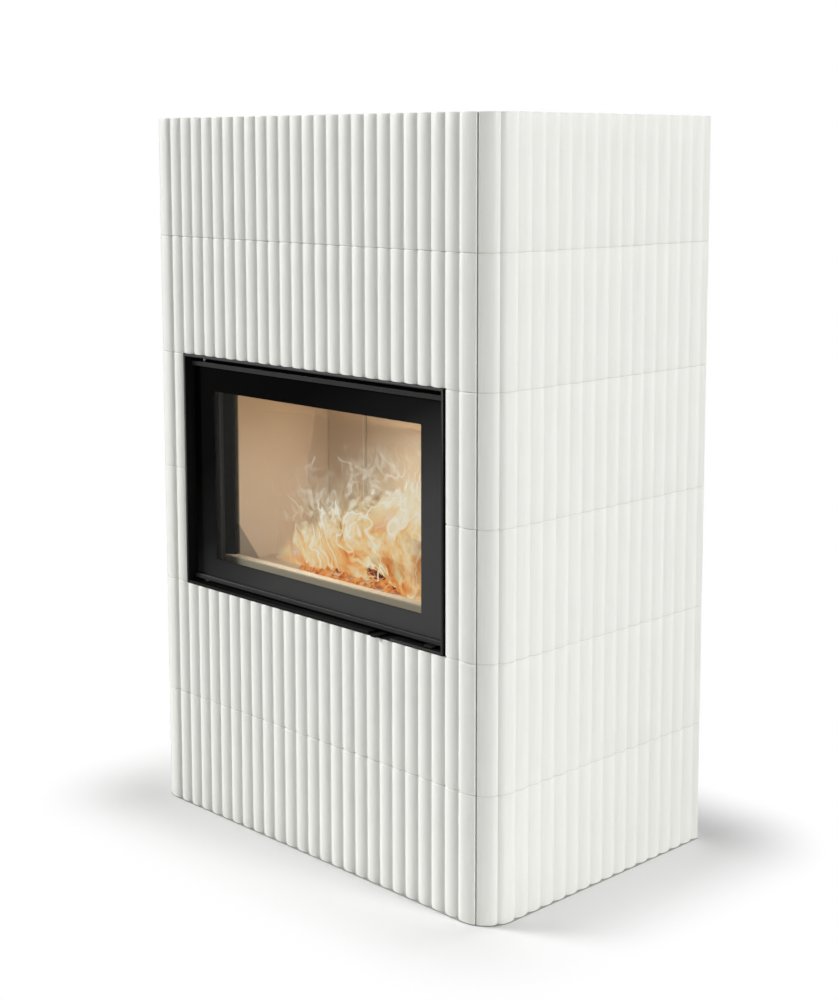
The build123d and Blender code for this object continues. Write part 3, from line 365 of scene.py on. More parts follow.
def screw_mesh(radius, height, stem_radius, stem, socket=0.5, around=24):
    """A round-headed screw on +Z with a six-sided socket, its head's underside at the origin."""
    turns = [2 * pi * i / around for i in range(around)]
    six = [cos(pi / 6) / cos((a % (pi / 3)) - pi / 6) for a in turns]
    rings = [[(stem_radius, -stem)] * around, [(stem_radius, 0.0)] * around,
             [(radius, 0.0)] * around, [(radius, 0.35 * height)] * around,
             [(0.93 * radius, 0.7 * height)] * around, [(0.78 * radius, height)] * around,
             [(socket * radius * k, height) for k in six],
             [(socket * radius * k, 0.3 * height) for k in six]]
    shape = bmesh.new()
    loops = [[shape.verts.new((r * cos(a), r * sin(a), z)) for a, (r, z) in zip(turns, ring)]
             for ring in rings]
    bridge(shape, loops)
    shape.faces.new(list(reversed(loops[0])))
    shape.faces.new(loops[-1])
    return to_mesh(shape, "screw")


def bridge(shape, loops):
    """Joins each closed loop of points to the next by a ring of faces."""
    for near, far in zip(loops, loops[1:]):
        for i in range(len(near)):
            k = (i + 1) % len(near)
            shape.faces.new((near[i], near[k], far[k], far[i]))


def screw_tree():
    """Screws: one screw set at every point, turned the same way, each a little round its axis."""
    tree, given = new_tree("Screws", [
        ("Screw", "Object"), ("Turn", "Rotation"), ("Seed", "Int"), ("Metal", "Material")])
    screw = add(tree, "GeometryNodeObjectInfo",
                {"Object": given["Screw"], "As Instance": True}, "Geometry")
    spin = add(tree, "FunctionNodeAxisAngleToRotation",
               {"Axis": (0, 0, 1), "Angle": chance(given["Seed"], 0.0, 1.05)})
    both = add(tree, "FunctionNodeRotateRotation", {0: given["Turn"], 1: spin},
               rotation_space="LOCAL")
    set_in = add(tree, "GeometryNodeInstanceOnPoints",
                 {"Points": given["Geometry"], "Instance": screw, "Rotation": both})
    close_tree(tree, set_in, given["Metal"])
    return tree


def dress(finish, *nodes):
    """Gives CAD nodes that show as they are their finish."""
    for node in nodes:
        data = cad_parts[node].data
        data.materials.clear()
        data.materials.append(FINISHES[finish])


# ---- finishes ----


def glazed_stoneware():
    # Pressed stoneware under an opaque white glaze: silky, a touch green-grey, slightly uneven
    # as it flowed, each tile a hair lighter or darker than the next.
    material, place = new_finish("white_glazed_stoneware")
    cloud = grain(place, 9.0, 3.0).times_plus(0.5, mark(place, "tile_tone"))
    # Pin holes about 0.6 mm wide, where gas broke through the glaze.
    pit = span(cells(place, 90.0), 0.0, 1.0, 0.02, 0.045)
    soft = grain(place, 55.0, 2.0)
    return coated(material, blend(cloud, "#e9eae4", "#f0f0eb"), span(soft, 0.36, 0.46),
                  relief(pit.times_plus(0.15, soft), 0.35, 0.0004),
                  {"Coat Weight": 0.12, "Coat Roughness": 0.22})


def powder_coat():
    # Steel plate under grey powder coat: a fine orange peel of about 1.5 mm.
    material, place = new_finish("grey_powder_coat")
    return coated(material, blend(grain(place, 14.0, 4.0), "#8f908c", "#a6a7a3"), 0.5,
                  relief(grain(place, 650.0, 2.0), 0.3, 0.0002))


def stove_paint(name="black_stove_paint", dark="#0c0c0c", light="#151514", rough=(0.5, 0.62)):
    # Sheet steel sprayed with heat-proof silicone paint: matt, fine grain, dry to the eye.
    material, place = new_finish(name)
    cloud = grain(place, 18.0, 5.0)
    return coated(material, blend(cloud, dark, light), span(cloud, *rough),
                  relief(grain(place, 1400.0, 2.0), 0.35, 0.00015),
                  {"Specular IOR Level": 0.15})


def zinc_plate():
    # Zinc-plated steel: pale metal with a faint spangle of a few millimetres.
    material, place = new_finish("zinc_plated_steel")
    colour = blend(cells(place, 240.0, "Color"), "#9ea2a3", "#c3c6c6")
    return coated(material, colour, span(grain(place, 40.0, 4.0), 0.3, 0.5), None,
                  {"Metallic": 1.0})


def sand_casting():
    # Grey iron cast in sand and blackened: a coarse skin with grains of about 1 mm.
    material, place = new_finish("blackened_cast_iron")
    sand = grain(place, 900.0, 5.0)
    return coated(material, "#2b2b2a", span(sand, 0.55, 0.75), relief(sand, 0.6, 0.0005),
                  {"Metallic": 0.6})


def joint_sealant():
    # Stove sealant in the level joints: matt light grey, sand of about a millimetre.
    material, place = new_finish("light_grey_stove_sealant")
    return coated(material, blend(grain(place, 900.0, 2.0), "#d6d7d0", "#e6e7e1"), 0.8)


def ramp(value, *stops):
    """A colour ramp through (place, sRGB code) stops."""
    colour = add(value.tree, "ValToRGB", {"Fac": value}, "Color")
    marks = colour.socket.node.color_ramp.elements
    while len(marks) < len(stops):
        marks.new(0.5)
    for stop, (spot, code) in zip(marks, stops):
        stop.position = spot
        stop.color = linear(code)
    return colour


def fire_light():
    # Burning wood gas: thin glowing veils, cream in the heart, amber in the tips, soft towards
    # their rims, with fine bright threads where the gas folds.
    material, place = new_finish("wood_flame")
    rise, rim = mark(place, "rise"), mark(place, "rim")
    low = add(place.tree, "Mapping", {"Vector": place, "Scale": (1.0, 1.0, 0.45)})
    threads = grain(low, 34.0, 3.0, Distortion=1.4)
    colour = ramp(threads.times_plus(0.9, rise * 0.75), (0.3, "#fffaee"), (0.5, "#fff1cf"),
                  (0.72, "#ffd79c"), (0.95, "#f0ab6a"))
    line = span(abs(threads - 0.5), 0.5, 0.0, 0.0, 0.08)
    body = span(rise, 0.7, 0.08, 0.05, 0.8)
    soft = span(rim, 1.0, 0.0, 0.25, 1.0, "SMOOTHSTEP")
    ends = span(rise, 1.0, 0.0, 0.8, 1.0)
    return glowing(material, colour, line.math("ADD", body, use_clamp=True) * (soft * ends))


def gas_veil():
    # A curtain of burning gas: a dense cream and orange mass low down, swirling pale wisps over
    # it that run out in fine curls, taller towards the right.
    material, place = new_finish("burning_gas_veil")
    swirl = grain(place, 8.0, 3.0, "Color").vector("SUBTRACT", (0.5, 0.5, 0.5))
    drawn = swirl.vector("MULTIPLY_ADD", (0.2, 0.2, 0.2), place)
    low = add(place.tree, "Mapping", {"Vector": drawn, "Scale": (1.0, 1.0, 0.55)})
    cloud = grain(low, 17.0, 5.0, Roughness=0.6)
    line = span(abs(grain(low, 13.0, 2.0) - 0.5), 1.0, 0.0, 0.0, 0.03)
    across, _, up = axes_of(place)
    over = up - HEARTH[1].z
    # The gas stands 0.13 m high in the middle, and 0.45 m higher for each metre to the right.
    lift = cloud.times_plus(-0.34, over) - across.times_plus(0.45, 0.13)
    mass = span(lift, 0.0, 1.0, -0.135, -0.2, "SMOOTHSTEP")
    reach = span(lift, 0.0, 0.75, -0.02, -0.17)
    dense = (mass * 0.72 + reach * 0.12).math("ADD", line * reach, use_clamp=True)
    heat = line.times_plus(0.16, over.times_plus(0.55, cloud))
    colour = ramp(heat, (0.36, "#dc6c30"), (0.44, "#f8a258"), (0.53, "#ffd594"),
                  (0.63, "#fff0cf"), (0.78, "#fffbf2"))
    return glowing(material, colour, dense * mark(place, "edge"))


def glowing_coal():
    # Charcoal at red heat: each lump from cream through orange to brown, dark where it cools.
    material, place = new_finish("glowing_charcoal")
    crust = grain(place, 75.0, 4.0, Distortion=0.6)
    heat = crust.times_plus(1.1, mark(place, "heat").times_plus(0.75, -0.3))
    colour = ramp(heat, (0.0, "#4a2418"), (0.14, "#d0682f"), (0.3, "#f9a050"),
                  (0.48, "#ffd08c"), (0.7, "#fff3d6"))
    return coated(material, "#231b19", 0.9, relief(crust, 0.7, 0.002),
                  {"Emission Color": colour, "Emission Strength": 0.95})


def charred_log():
    # Burning birch: purple-grey char split in ridges across the grain, red heat in the splits.
    material, place = new_finish("charred_wood")
    cracks = cells(place, 85.0, feature="DISTANCE_TO_EDGE")
    cloud = grain(place, 30.0, 4.0)
    split = span(cracks, 1.0, 0.0, 0.0, 0.12)
    glow = mark(place, "underside").math("MULTIPLY", split.times_plus(0.6, cloud),
                                        use_clamp=True)
    light = ramp(glow, (0.2, "#000000"), (0.42, "#8c2f12"), (0.62, "#f08a3c"), (0.85, "#ffe0a0"))
    skin = ramp(cloud, (0.35, "#2b2226"), (0.6, "#57474c"), (0.75, "#8a7a78"))
    return coated(material, skin, 0.85, relief(cracks, 0.9, 0.003),
                  {"Emission Color": light, "Emission Strength": 0.9})


def wood_ash():
    # Fresh wood ash: soft pale grey powder with a warm glow below the embers.
    material, place = new_finish("wood_ash")
    flakes = grain(place, 160.0, 5.0)
    warm = ramp(flakes, (0.42, "#1a0a04"), (0.62, "#d8803c"))
    return coated(material, ramp(flakes, (0.35, "#8f8378"), (0.65, "#d2c6b6")), 0.95,
                  relief(flakes, 0.8, 0.002), {"Emission Color": warm, "Emission Strength": 0.5})


def fire_clay(name, pale, deep, depth=0.0006, greyed=False):
    # Pressed fire clay: dry beige body, grog specks of 1 to 3 mm, with painted firelight that
    # leaves it pale low down and browner higher up.
    material, place = new_finish(name)
    base = blend(grain(place, 7.0, 5.0), deep, pale)
    colour = blend(span(cells(place, 420.0), 0.3, 0.0, 0.1, 0.35), base, "#8c7557")
    # Painted warm firelight: the upper part is tinted browner, and the lower part stays a pinkish
    # pale.
    _, back, up = axes_of(place)
    painted_firelight = blend(span(up, 0.0, 1.0, 0.6, 0.96), "#faf6f4", "#d6bd9c")
    colour = blend(1.0, colour, painted_firelight, blend_type="MULTIPLY")
    if greyed:
        # The low front corner turns grey below a line that falls backwards.
        edge = span(back.times_plus(GREY_CORNER_SLOPE, up), 0.85, 0.0,
                    GREY_CORNER_EDGE - GREY_CORNER_BLUR, GREY_CORNER_EDGE + GREY_CORNER_BLUR)
        colour = blend(edge, colour, "#8b8885")
    return coated(material, colour, 0.92, relief(grain(place, 700.0, 3.0), 0.5, depth))


def clear_pane():
    # Glass ceramic that takes 700 degrees: clear, a touch smoky, its mirror image kept faint by
    # a coating against glare.
    material, place = new_finish("clear_glass_ceramic")
    tree = place.tree
    skin = add(tree, "BsdfPrincipled", {
        "Base Color": "#10100f", "Roughness": 0.02,
        "Normal": relief(grain(place, 5.0, 1.0), 0.05, 0.0005)})
    through = add(tree, "BsdfTransparent", {"Color": "#faf9f4"})
    return closed(material, add(tree, "MixShader", {0: 0.12, 1: through, 2: skin}))


def fired_print():
    # Black enamel fired on the glass: deep black, greyed low on the right by a painted reflection.
    material, place = new_finish("black_fired_enamel_under_glass")
    ripple = grain(place, 4.0, 1.0)
    across, _, up = axes_of(place)
    # The painted reflection grows to the right and downwards.
    painted_reflection = across.times_plus(1.15, up * -2.1) + 2.0
    colour = ramp(ripple.times_plus(0.1, painted_reflection), (0.05, "#060606"), (0.4, "#191919"),
                  (0.8, "#444544"), (1.0, "#474847"))
    return coated(material, colour, span(ripple, 0.1, 0.16), None, {"Specular IOR Level": 0.01})


def mineral_felt():
    # Pressed mineral wool: warm grey fibres of about a millimetre, no gloss at all.
    material, place = new_finish("grey_mineral_felt")
    fibre = grain(place, 520.0, 5.0, Distortion=1.5)
    return coated(material, blend(fibre, "#6d6a63", "#9c978d"), 0.95,
                  relief(fibre, 0.8, 0.0006), {"Sheen Weight": 0.2})


def glass_fibre_rope():
    # Knitted glass-fibre rope, graphite grey: yarns of about 1.5 mm with a dull sheen.
    material, place = new_finish("graphite_glass_fibre_rope")
    yarn = add(place.tree, "TexWave",
               {"Vector": place, "Scale": 210.0, "Distortion": 2.0, "Detail": 2.0}, "Fac",
               bands_direction="DIAGONAL")
    return coated(material, blend(yarn, "#232323", "#4a4a48"), 0.85,
                  relief(yarn, 0.8, 0.0006), {"Sheen Weight": 0.3})


def turned_brass():
    # Turned brass: yellow metal with fine turning marks.
    material, place = new_finish("turned_brass")
    return coated(material, "#c9a45c", span(grain(place, 800.0, 1.0), 0.2, 0.34), None,
                  {"Metallic": 1.0})


FINISHES = {}


def make_finishes():
    FINISHES.update(
        tile=glazed_stoneware(),
        plinth=powder_coat(),
        black=stove_paint(),
        rail=stove_paint("grey_rail_paint", "#242424", "#2c2c2b", (0.34, 0.42)),
        zinc=zinc_plate(),
        iron=sand_casting(),
        brick=fire_clay("beige_fire_clay", "#ddd6cc", "#d0c6b8"),
        stained=fire_clay("beige_fire_clay_with_greyed_corner", "#ddd6cc", "#d0c6b8", greyed=True),
        kerb=fire_clay("pale_fire_clay", "#f0ece2", "#e4dfd2"),
        board=fire_clay("vermiculite_board", "#c4ad86", "#a88f68", 0.0012),
        sealant=joint_sealant(),
        fire=fire_light(),
        veil=gas_veil(),
        coal=glowing_coal(),
        char=charred_log(),
        ash=wood_ash(),
        glass=clear_pane(),
        printed=fired_print(),
        felt=mineral_felt(),
        rope=glass_fibre_rope(),
        brass=turned_brass(),
    )


# ---- settings ----


def length(name, text, default):
    return FloatProperty(name=name, description=text, default=default, unit="LENGTH",
                         subtype="DISTANCE")


def angle(name, text, turn):
    return FloatProperty(name=name, description=text, default=radians(turn), subtype="ANGLE")


def amount(name, text, default):
    kind = IntProperty if isinstance(default, int) else FloatProperty
    return kind(name=name, description=text, default=default)


class TileSettings(bpy.types.PropertyGroup):
    rib_pitch: length("Rib pitch", "From one rib's crown to the next", 0.036)
    rib_depth: length("Rib depth", "How deep the valleys lie behind the crowns", 0.005)
    flank_run: length("Flank run", "Width of the single flanks beside the round corner", 0.0145)
    corner_radius: length("Corner radius", "Radius of the round corner over the crowns", 0.065)
    joint_angle: angle("Joint angle", "Where on the corner the upright joint lies, from the front",
                       26)
    joint_gap: length("Joint gap", "Width of the upright joint", 0.002)
    thickness: length("Thickness", "Thickness of a tile at its crowns", 0.045)
    edge_round: length("Edge round", "Radius of the glazed edges at foot and head", 0.0012)
    end_round: length("End round", "Radius of the glazed edges beside the upright joints", 0.0028)
    front_recess: length("Front recess", "How far the front's level joints lie back", 0.0018)
    side_recess: length("Side recess", "How far the sides' level joints lie back", 0.001)
    uneven: length("Unevenness", "How far the fired face wanders from true", 0.0001)
    seed: amount("Seed", "Seed of the unevenness and the tones", 11)


class StageSettings(bpy.types.PropertyGroup):
    camera_place: FloatVectorProperty(
        name="Camera place", description="Where the camera stands", subtype="XYZ", unit="LENGTH",
        default=(2.6287, -2.5258, 1.4306))
    camera_turn: angle("Camera turn", "Camera heading, anticlockwise from straight ahead", 45.428)
    camera_tilt: angle("Camera tilt", "How far the camera looks down", 7.154)
    lens: amount("Lens", "Focal length in millimetres", 62.81)
    shift_x: amount("Shift X", "Sideways lens shift", -0.0195)
    shift_y: amount("Shift Y", "Upward lens shift", -0.13)
    left_light: amount("Left light", "Strength of the soft light from the front left", 3.2)
    right_light: amount("Right light", "Strength of the soft light from the right", 2.0)
    rear_light: amount("Rear light", "Strength of the soft light from behind", 0.9)
    room_light: amount("Room light", "Strength of the even light from all round", 0.08)


# ---- tiles ----


def reeding_tree():
    """The rule of the ribs: sinks a plain tile's face between the crowns and rounds its ends."""
    tree, given = new_tree("Reeding", [
        ("Rib pitch", "Float"), ("Rib depth", "Float"), ("Flank run", "Float"),
        ("Ribs from", "Float"), ("Ribs to", "Float"), ("Valley A", "Float"),
        ("Valley B", "Float"), ("Tile from", "Float"), ("Tile to", "Float"),
        ("Edge round", "Float"), ("Uneven", "Float"), ("Seed", "Int"), ("Glaze", "Material")])
    run, share = stored(tree, "run"), stored(tree, "share")
    inward = stored(tree, "inward", "FLOAT_VECTOR")
    pitch, deep, flank = given["Rib pitch"], given["Rib depth"], given["Flank run"]
    rim = given["Edge round"]

    def arc(away, reach):
        """The depth of a round flank, a distance from its crown, that is full at reach."""
        radius = (reach * reach + deep * deep) * 0.5 / deep
        return radius - (radius * radius - away * away).math("SQRT")

    half, slack = pitch * 0.5, 1e-6
    from_crown = abs((run - given["Ribs from"]).math("FLOORED_MODULO", pitch) - half)
    after = run.math("GREATER_THAN", given["Ribs from"] - slack)
    before = run.math("LESS_THAN", given["Ribs to"] + slack)
    depth = arc(from_crown, half) * (after * before)
    for valley in ("Valley A", "Valley B"):
        away = (flank - abs(run - given[valley])).math("MAXIMUM", 0.0)
        depth = depth.math("MAXIMUM", arc(away, flank))
    to_end = (run - given["Tile from"]).math("MINIMUM", given["Tile to"] - run)
    lost = (rim - to_end).math("MAXIMUM", 0.0)
    fall = rim - (rim * rim - lost * lost).math("MAXIMUM", 0.0).math("SQRT")

    waves = add(tree, "TexNoise", {"Scale": 14.0, "Detail": 1.0, "W": given["Seed"]},
                noise_dimensions="4D")
    total = depth + fall + waves * given["Uneven"]
    moved = add(tree, "GeometryNodeSetPosition", {
        "Geometry": given["Geometry"], "Offset": inward.vector("SCALE", Scale=total * share)})
    tone = add(tree, "FunctionNodeRandomValue",
               {2: -0.25, 3: 0.35, "ID": 0, "Seed": given["Seed"]}, 1, data_type="FLOAT")
    close_tree(tree, store(moved, "tile_tone", tone), given["Glaze"])
    return tree


def spread(start, stop, step):
    """Even places from start to stop, both counted, about a step apart."""
    count = max(1, ceil(abs(stop - start) / step - 1e-9))
    return [start + (stop - start) * i / count for i in range(count + 1)]


def end_places(place, towards, radius):
    """Close places near a tile's end, where its edge is round."""
    return [place + towards * radius * (1 - cos(radians(a))) for a in (0, 25, 50, 70, 90)]


class TilePlan:
    """Where the casing's outline runs: a run along it gives a point, its inward and its back."""

    def __init__(self, settings):
        self.s = settings
        self.crown_y = FIRST_TILE[0].y
        self.half_w = CORNER_TILE[1].x
        self.back_y = CORNER_TILE[1].y
        self.height = FIRST_TILE[1].z - FIRST_TILE[0].z
        self.centre = Vector((self.half_w - settings.corner_radius,
                              self.crown_y + settings.corner_radius))
        self.joint_turn = asin(settings.joint_gap / 2 / settings.corner_radius)

    def on_corner(self, angle):
        """The outline at an angle on the right-hand corner, from straight ahead."""
        out = Vector((sin(angle), -cos(angle)))
        radius = self.s.corner_radius
        inner = (radius - self.s.thickness) / max(cos(angle), sin(angle))
        return self.centre + radius * out, -out, self.centre + inner * out

    def front(self, run):
        side = -1 if run < 0 else 1
        over = abs(run) - self.centre.x
        if over <= 0:
            return (Vector((run, self.crown_y)), Vector((0, 1)),
                    Vector((run, self.crown_y + self.s.thickness)))
        return [Vector((side * v.x, v.y)) for v in self.on_corner(over / self.s.corner_radius)]

    def side(self, run):
        over = -self.s.flank_run - run
        if over <= 0:
            y = self.centre.y + self.s.flank_run + run
            return (Vector((self.half_w, y)), Vector((-1, 0)),
                    Vector((self.half_w - self.s.thickness, y)))
        return self.on_corner(pi / 2 - over / self.s.corner_radius)


def tile_rows(r, height):
    """A tile's face from foot to head as inset and height, with its edges round."""
    turns = [radians(a) for a in (0, 22.5, 45, 67.5, 90)]
    foot = [(r * (1 - sin(a)), r * (1 - cos(a))) for a in turns]
    middle = [(0.0, r + (height - 2 * r) * share) for share in (0.25, 0.5, 0.75)]
    return foot + middle + [(inset, height - z) for inset, z in reversed(foot)]


def plain_strip(name, face_rows, height, places, where, bottom, mirrored=False):
    """A closed tile or joint with a plain face, cut in columns fine enough for the ribs."""
    points, runs, shares, inwards = [], [], [], []
    for run in places:
        outer, inward, inner = where(run)
        if mirrored:
            outer, inward, inner = [Vector((-v.x, v.y)) for v in (outer, inward, inner)]
        for inset, z in face_rows:
            spot = outer + inward * inset
            points.append((spot.x, spot.y, bottom + z))
        for z in (height, 0.0):
            points.append((inner.x, inner.y, bottom + z))
        rows = len(face_rows) + 2
        runs += [run] * rows
        shares += [1.0] * len(face_rows) + [0.0, 0.0]
        inwards += [inward.x, inward.y, 0.0] * rows
    rows = len(face_rows) + 2
    faces = []
    for start in range(0, (len(places) - 1) * rows, rows):
        for j in range(rows):
            k = (j + 1) % rows
            faces.append((start + j, start + k, start + rows + k, start + rows + j))
    faces += [tuple(range(rows)), tuple(range((len(places) - 1) * rows, len(places) * rows))]
    mesh = bpy.data.meshes.new(name)
    mesh.from_pydata(points, [], faces)
    shape = bmesh.new()
    shape.from_mesh(mesh)
    bmesh.ops.recalc_face_normals(shape, faces=shape.faces)
    shape.to_mesh(mesh)
    shape.free()
    mesh.attributes.new("run", "FLOAT", "POINT").data.foreach_set("value", runs)
    mesh.attributes.new("share", "FLOAT", "POINT").data.foreach_set("value", shares)
    mesh.attributes.new("inward", "FLOAT_VECTOR", "POINT").data.foreach_set("vector", inwards)
    return mesh


def reeded(name, base, tree, s, run_of, ribs, valleys, seed, finish):
    """Sinks the ribs into a plain strip."""
    mesh = grow(name, base, tree, {
        "Rib pitch": s.rib_pitch, "Rib depth": s.rib_depth, "Flank run": s.flank_run,
        "Ribs from": ribs[0], "Ribs to": ribs[1], "Valley A": valleys[0],
        "Valley B": valleys[1], "Tile from": run_of[0], "Tile to": run_of[-1],
        "Edge round": s.end_round, "Uneven": s.uneven, "Seed": s.seed + seed, "Glaze": finish})
    for used in ("run", "share", "inward"):
        mesh.attributes.remove(mesh.attributes[used])
    smooth(mesh)
    return mesh


def lay_tile(node, tree, plan, seed, places, where, ribs, valleys, mirrored=False):
    """Makes one tile in its course and puts it in its node's place."""
    rows = tile_rows(plan.s.edge_round, plan.height)
    base = plain_strip(node, rows, plan.height, places, where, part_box(node)[0].z, mirrored)
    mesh = reeded(
        node + "_tile", base, tree, plan.s, places, ribs, valleys, seed, FINISHES["tile"])
    piece(node + "_glazed", mesh, "stove_body", [node])


def joint_strip(name, tree, plan, recess, courses, places, where, ribs, valleys, mirrored=False):
    """The sealed joints above some courses, a little behind the tiles' face."""
    def set_back(run):
        outer, inward, inner = where(run)
        return outer + inward * recess, inward, inner + inward * 0.002

    meshes = []
    for course in courses:
        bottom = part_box(f"side_tile_right_{course}")[1].z
        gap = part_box(f"side_tile_right_{course + 1}")[0].z - bottom
        base = plain_strip(name, [(0.0, 0.0), (0.0, gap)], gap, places, set_back, bottom, mirrored)
        meshes.append(
            reeded(name, base, tree, plan.s, places, ribs, valleys, 0, FINISHES["sealant"]))
    return meshes


class STOVE_OT_front_tiles(bpy.types.Operator):
    """Lays the reeded front tiles and the narrow tiles beside the door"""
    bl_idname = "stove.front_tiles"
    bl_label = "Lay front tiles"

    def execute(self, context):
        s = context.scene.stove_tiles
        plan, tree, fine = TilePlan(s), reeding_tree(), s.rib_pitch / 20
        ribs_end = plan.centre.x - s.flank_run
        joint = plan.centre.x + s.corner_radius * (s.joint_angle - plan.joint_turn)
        corner = sorted(set(
            spread(ribs_end, plan.centre.x, s.flank_run / 8)
            + spread(plan.centre.x, joint - s.end_round, PLAIN_STEP)
            + end_places(joint, -1, s.end_round)))
        jamb_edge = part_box("jamb_tile_right_3")[0].x
        places = spread(-ribs_end, ribs_end, fine)
        places = sorted(set([-x for x in corner] + places[1:-1] + corner))
        whole = (places, plan.front, (-ribs_end, ribs_end), (-ribs_end, ribs_end))
        places = sorted(set(end_places(jamb_edge, 1, s.end_round)
                            + spread(jamb_edge + s.end_round, ribs_end, fine)[:-1] + corner))
        narrow = (places, plan.front, (jamb_edge, ribs_end), (ribs_end, ribs_end))
        for course in (1, 2, 5, 6):
            lay_tile(f"front_tile_{course}", tree, plan, course, *whole)
        for course in (3, 4):
            for side in ("right", "left"):
                lay_tile(f"jamb_tile_{side}_{course}", tree, plan, course + len(side), *narrow,
                         side == "left")
        joints = joint_strip("front_joints", tree, plan, s.front_recess, (1, 5), *whole)
        for mirrored in (False, True):
            joints += joint_strip("jamb_joints", tree, plan, s.front_recess, (2, 3, 4), *narrow,
                                  mirrored)
        piece("front_joints", joined("front_joints", joints), "stove_body",
              ["tile_joint_strips"])
        return {"FINISHED"}


class STOVE_OT_side_tiles(bpy.types.Operator):
    """Lays the tiles that turn the corners and run down the sides"""
    bl_idname = "stove.side_tiles"
    bl_label = "Lay side tiles"

    def execute(self, context):
        s = context.scene.stove_tiles
        plan, tree, flank = TilePlan(s), reeding_tree(), s.flank_run
        length_of_arc = s.corner_radius * (pi / 2 - s.joint_angle - plan.joint_turn)
        joint = -flank - length_of_arc
        valley = -flank - s.corner_radius * s.joint_angle
        end = plan.back_y - plan.centre.y - flank
        places = sorted(set(
            end_places(joint, 1, s.end_round)
            + spread(joint + s.end_round, valley - flank, PLAIN_STEP)
            + spread(valley - flank, valley, flank / 8)
            + spread(valley, valley + flank, flank / 8)
            + spread(valley + flank, -flank, PLAIN_STEP)
            + spread(-flank, 0.0, flank / 8)
            + spread(0.0, end - s.end_round, s.rib_pitch / 20)
            + end_places(end, -1, s.end_round)))
        run = (places, plan.side, (0.0, end), (0.0, valley))
        for course in range(1, 7):
            for side in ("right", "left"):
                lay_tile(f"side_tile_{side}_{course}", tree, plan, 40 + course * len(side), *run,
                         side == "left")
        joints = []
        for mirrored in (False, True):
            joints += joint_strip("side_joints", tree, plan, s.side_recess, range(1, 6), *run,
                                  mirrored)
        piece("side_joints", joined("side_joints", joints), "stove_body")
        return {"FINISHED"}


# ---- casing, stand and fire box ----


class STOVE_OT_casing(bpy.types.Operator):
    """Finishes the plinth, posts, back and lid, and sets the screws of the back"""
    bl_idname = "stove.casing"
    bl_label = "Finish casing"

    def execute(self, context):
        dress("zinc", "corner_posts", "levelling_feet")
        shanks = solids_of("casing_screws")
        radius = max(high.x - low.x for low, high in shanks) / 2
        head = CORNER_TILE[1].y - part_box("back_plate")[1].y
        screw = bpy.data.objects.new("screw", screw_mesh(
            radius, head, 0.44 * radius, shanks[0][1].y - shanks[0][0].y - head))
        context.scene.collection.objects.link(screw)
        spots = bpy.data.meshes.new("screw_places")
        spots.from_pydata([((low.x + high.x) / 2, high.y - head, (low.z + high.z) / 2)
                           for low, high in shanks], [], [])
        screws = grow("back_screws", spots, screw_tree(), {
            "Screw": screw, "Turn": (-pi / 2, 0, 0), "Seed": 4, "Metal": FINISHES["zinc"]})
        bpy.data.objects.remove(screw)
        smooth(screws, 30)
        piece("back_screws", screws, "stove_body", ["casing_screws"])
        dress("black", "back_plate", "top_plate", "stand_legs", "stand_rails")
        eased_piece("base_plate", "plinth", 0.0005, 2, "plinth", "plinth_paint")
        return {"FINISHED"}


class STOVE_OT_firebox(bpy.types.Operator):
    """Finishes the fire box, its frame, flue and air parts"""
    bl_idname = "stove.firebox"
    bl_label = "Finish fire box"

    def execute(self, context):
        dress("black", "front_plate", "firebox_wrap", "firebox_bottom", "firebox_top",
              "flue_pipe", "air_box", "air_lever")
        dress("zinc", "firebox_bolts", "latch_keeper", "hinge_pins", "air_valve_plate",
              "valve_guides", "air_duct")
        dress("iron", "flue_collar")
        eased_piece("front_frame", "surround", 0.0006, 2, "black", "black_steel")
        return {"FINISHED"}


class STOVE_OT_lining(bpy.types.Operator):
    """Makes the fire-clay lining, its kerb and the baffle"""
    bl_idname = "stove.lining"
    bl_label = "Make lining"

    def execute(self, context):
        for made in (
                ("hearth_bricks", "hearth", 0.0015, 3, "brick", "fire_brick"),
                ("side_lining_left", "lining_left", 0.0007, 3, "stained", "fire_brick"),
                ("side_lining_right", "lining_right", 0.0007, 3, "brick", "fire_brick"),
                ("back_linings", "lining_back", 0.0015, 3, "brick", "fire_brick"),
                ("log_guard", "kerb", 0.006, 4, "kerb", "fire_brick"),
                ("baffle_plate", "baffle", 0.002, 3, "board", "vermiculite")):
            eased_piece(*made)
        return {"FINISHED"}


# ---- fire ----


class FireSettings(bpy.types.PropertyGroup):
    bed_half_width: length("Bed half width", "Half the width of the ember bed", 0.235)
    bed_half_depth: length("Bed half depth", "Half the depth of the ember bed", 0.095)
    bed_height: length("Bed height", "Height of the ember bed over the hearth", 0.026)
    log_radius: length("Log radius", "Radius of the thickest log", 0.036)
    coal_size: length("Coal size", "Size of an ordinary coal", 0.014)
    coals: amount("Coals", "How many coals lie on the bed, about", 620)
    tongues: amount("Tongues", "How many slim tongues of flame", 30)
    flame_height: length("Flame height", "Height of the gas curtains", 0.33)
    flame_width: length("Flame width", "Half the width of a wide tongue", 0.024)
    glow: amount("Glow", "Watts of light that the fire throws", 3.3)
    seed: amount("Seed", "Seed of the fire", 5)


def bed_middle():
    """The middle of the hearth's top, where the fire lies."""
    low, high = HEARTH
    guard_back, wall_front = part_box("log_guard")[1].y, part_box("back_linings")[0].y
    return Vector(((low.x + high.x) / 2, (guard_back + wall_front) / 2, high.z))


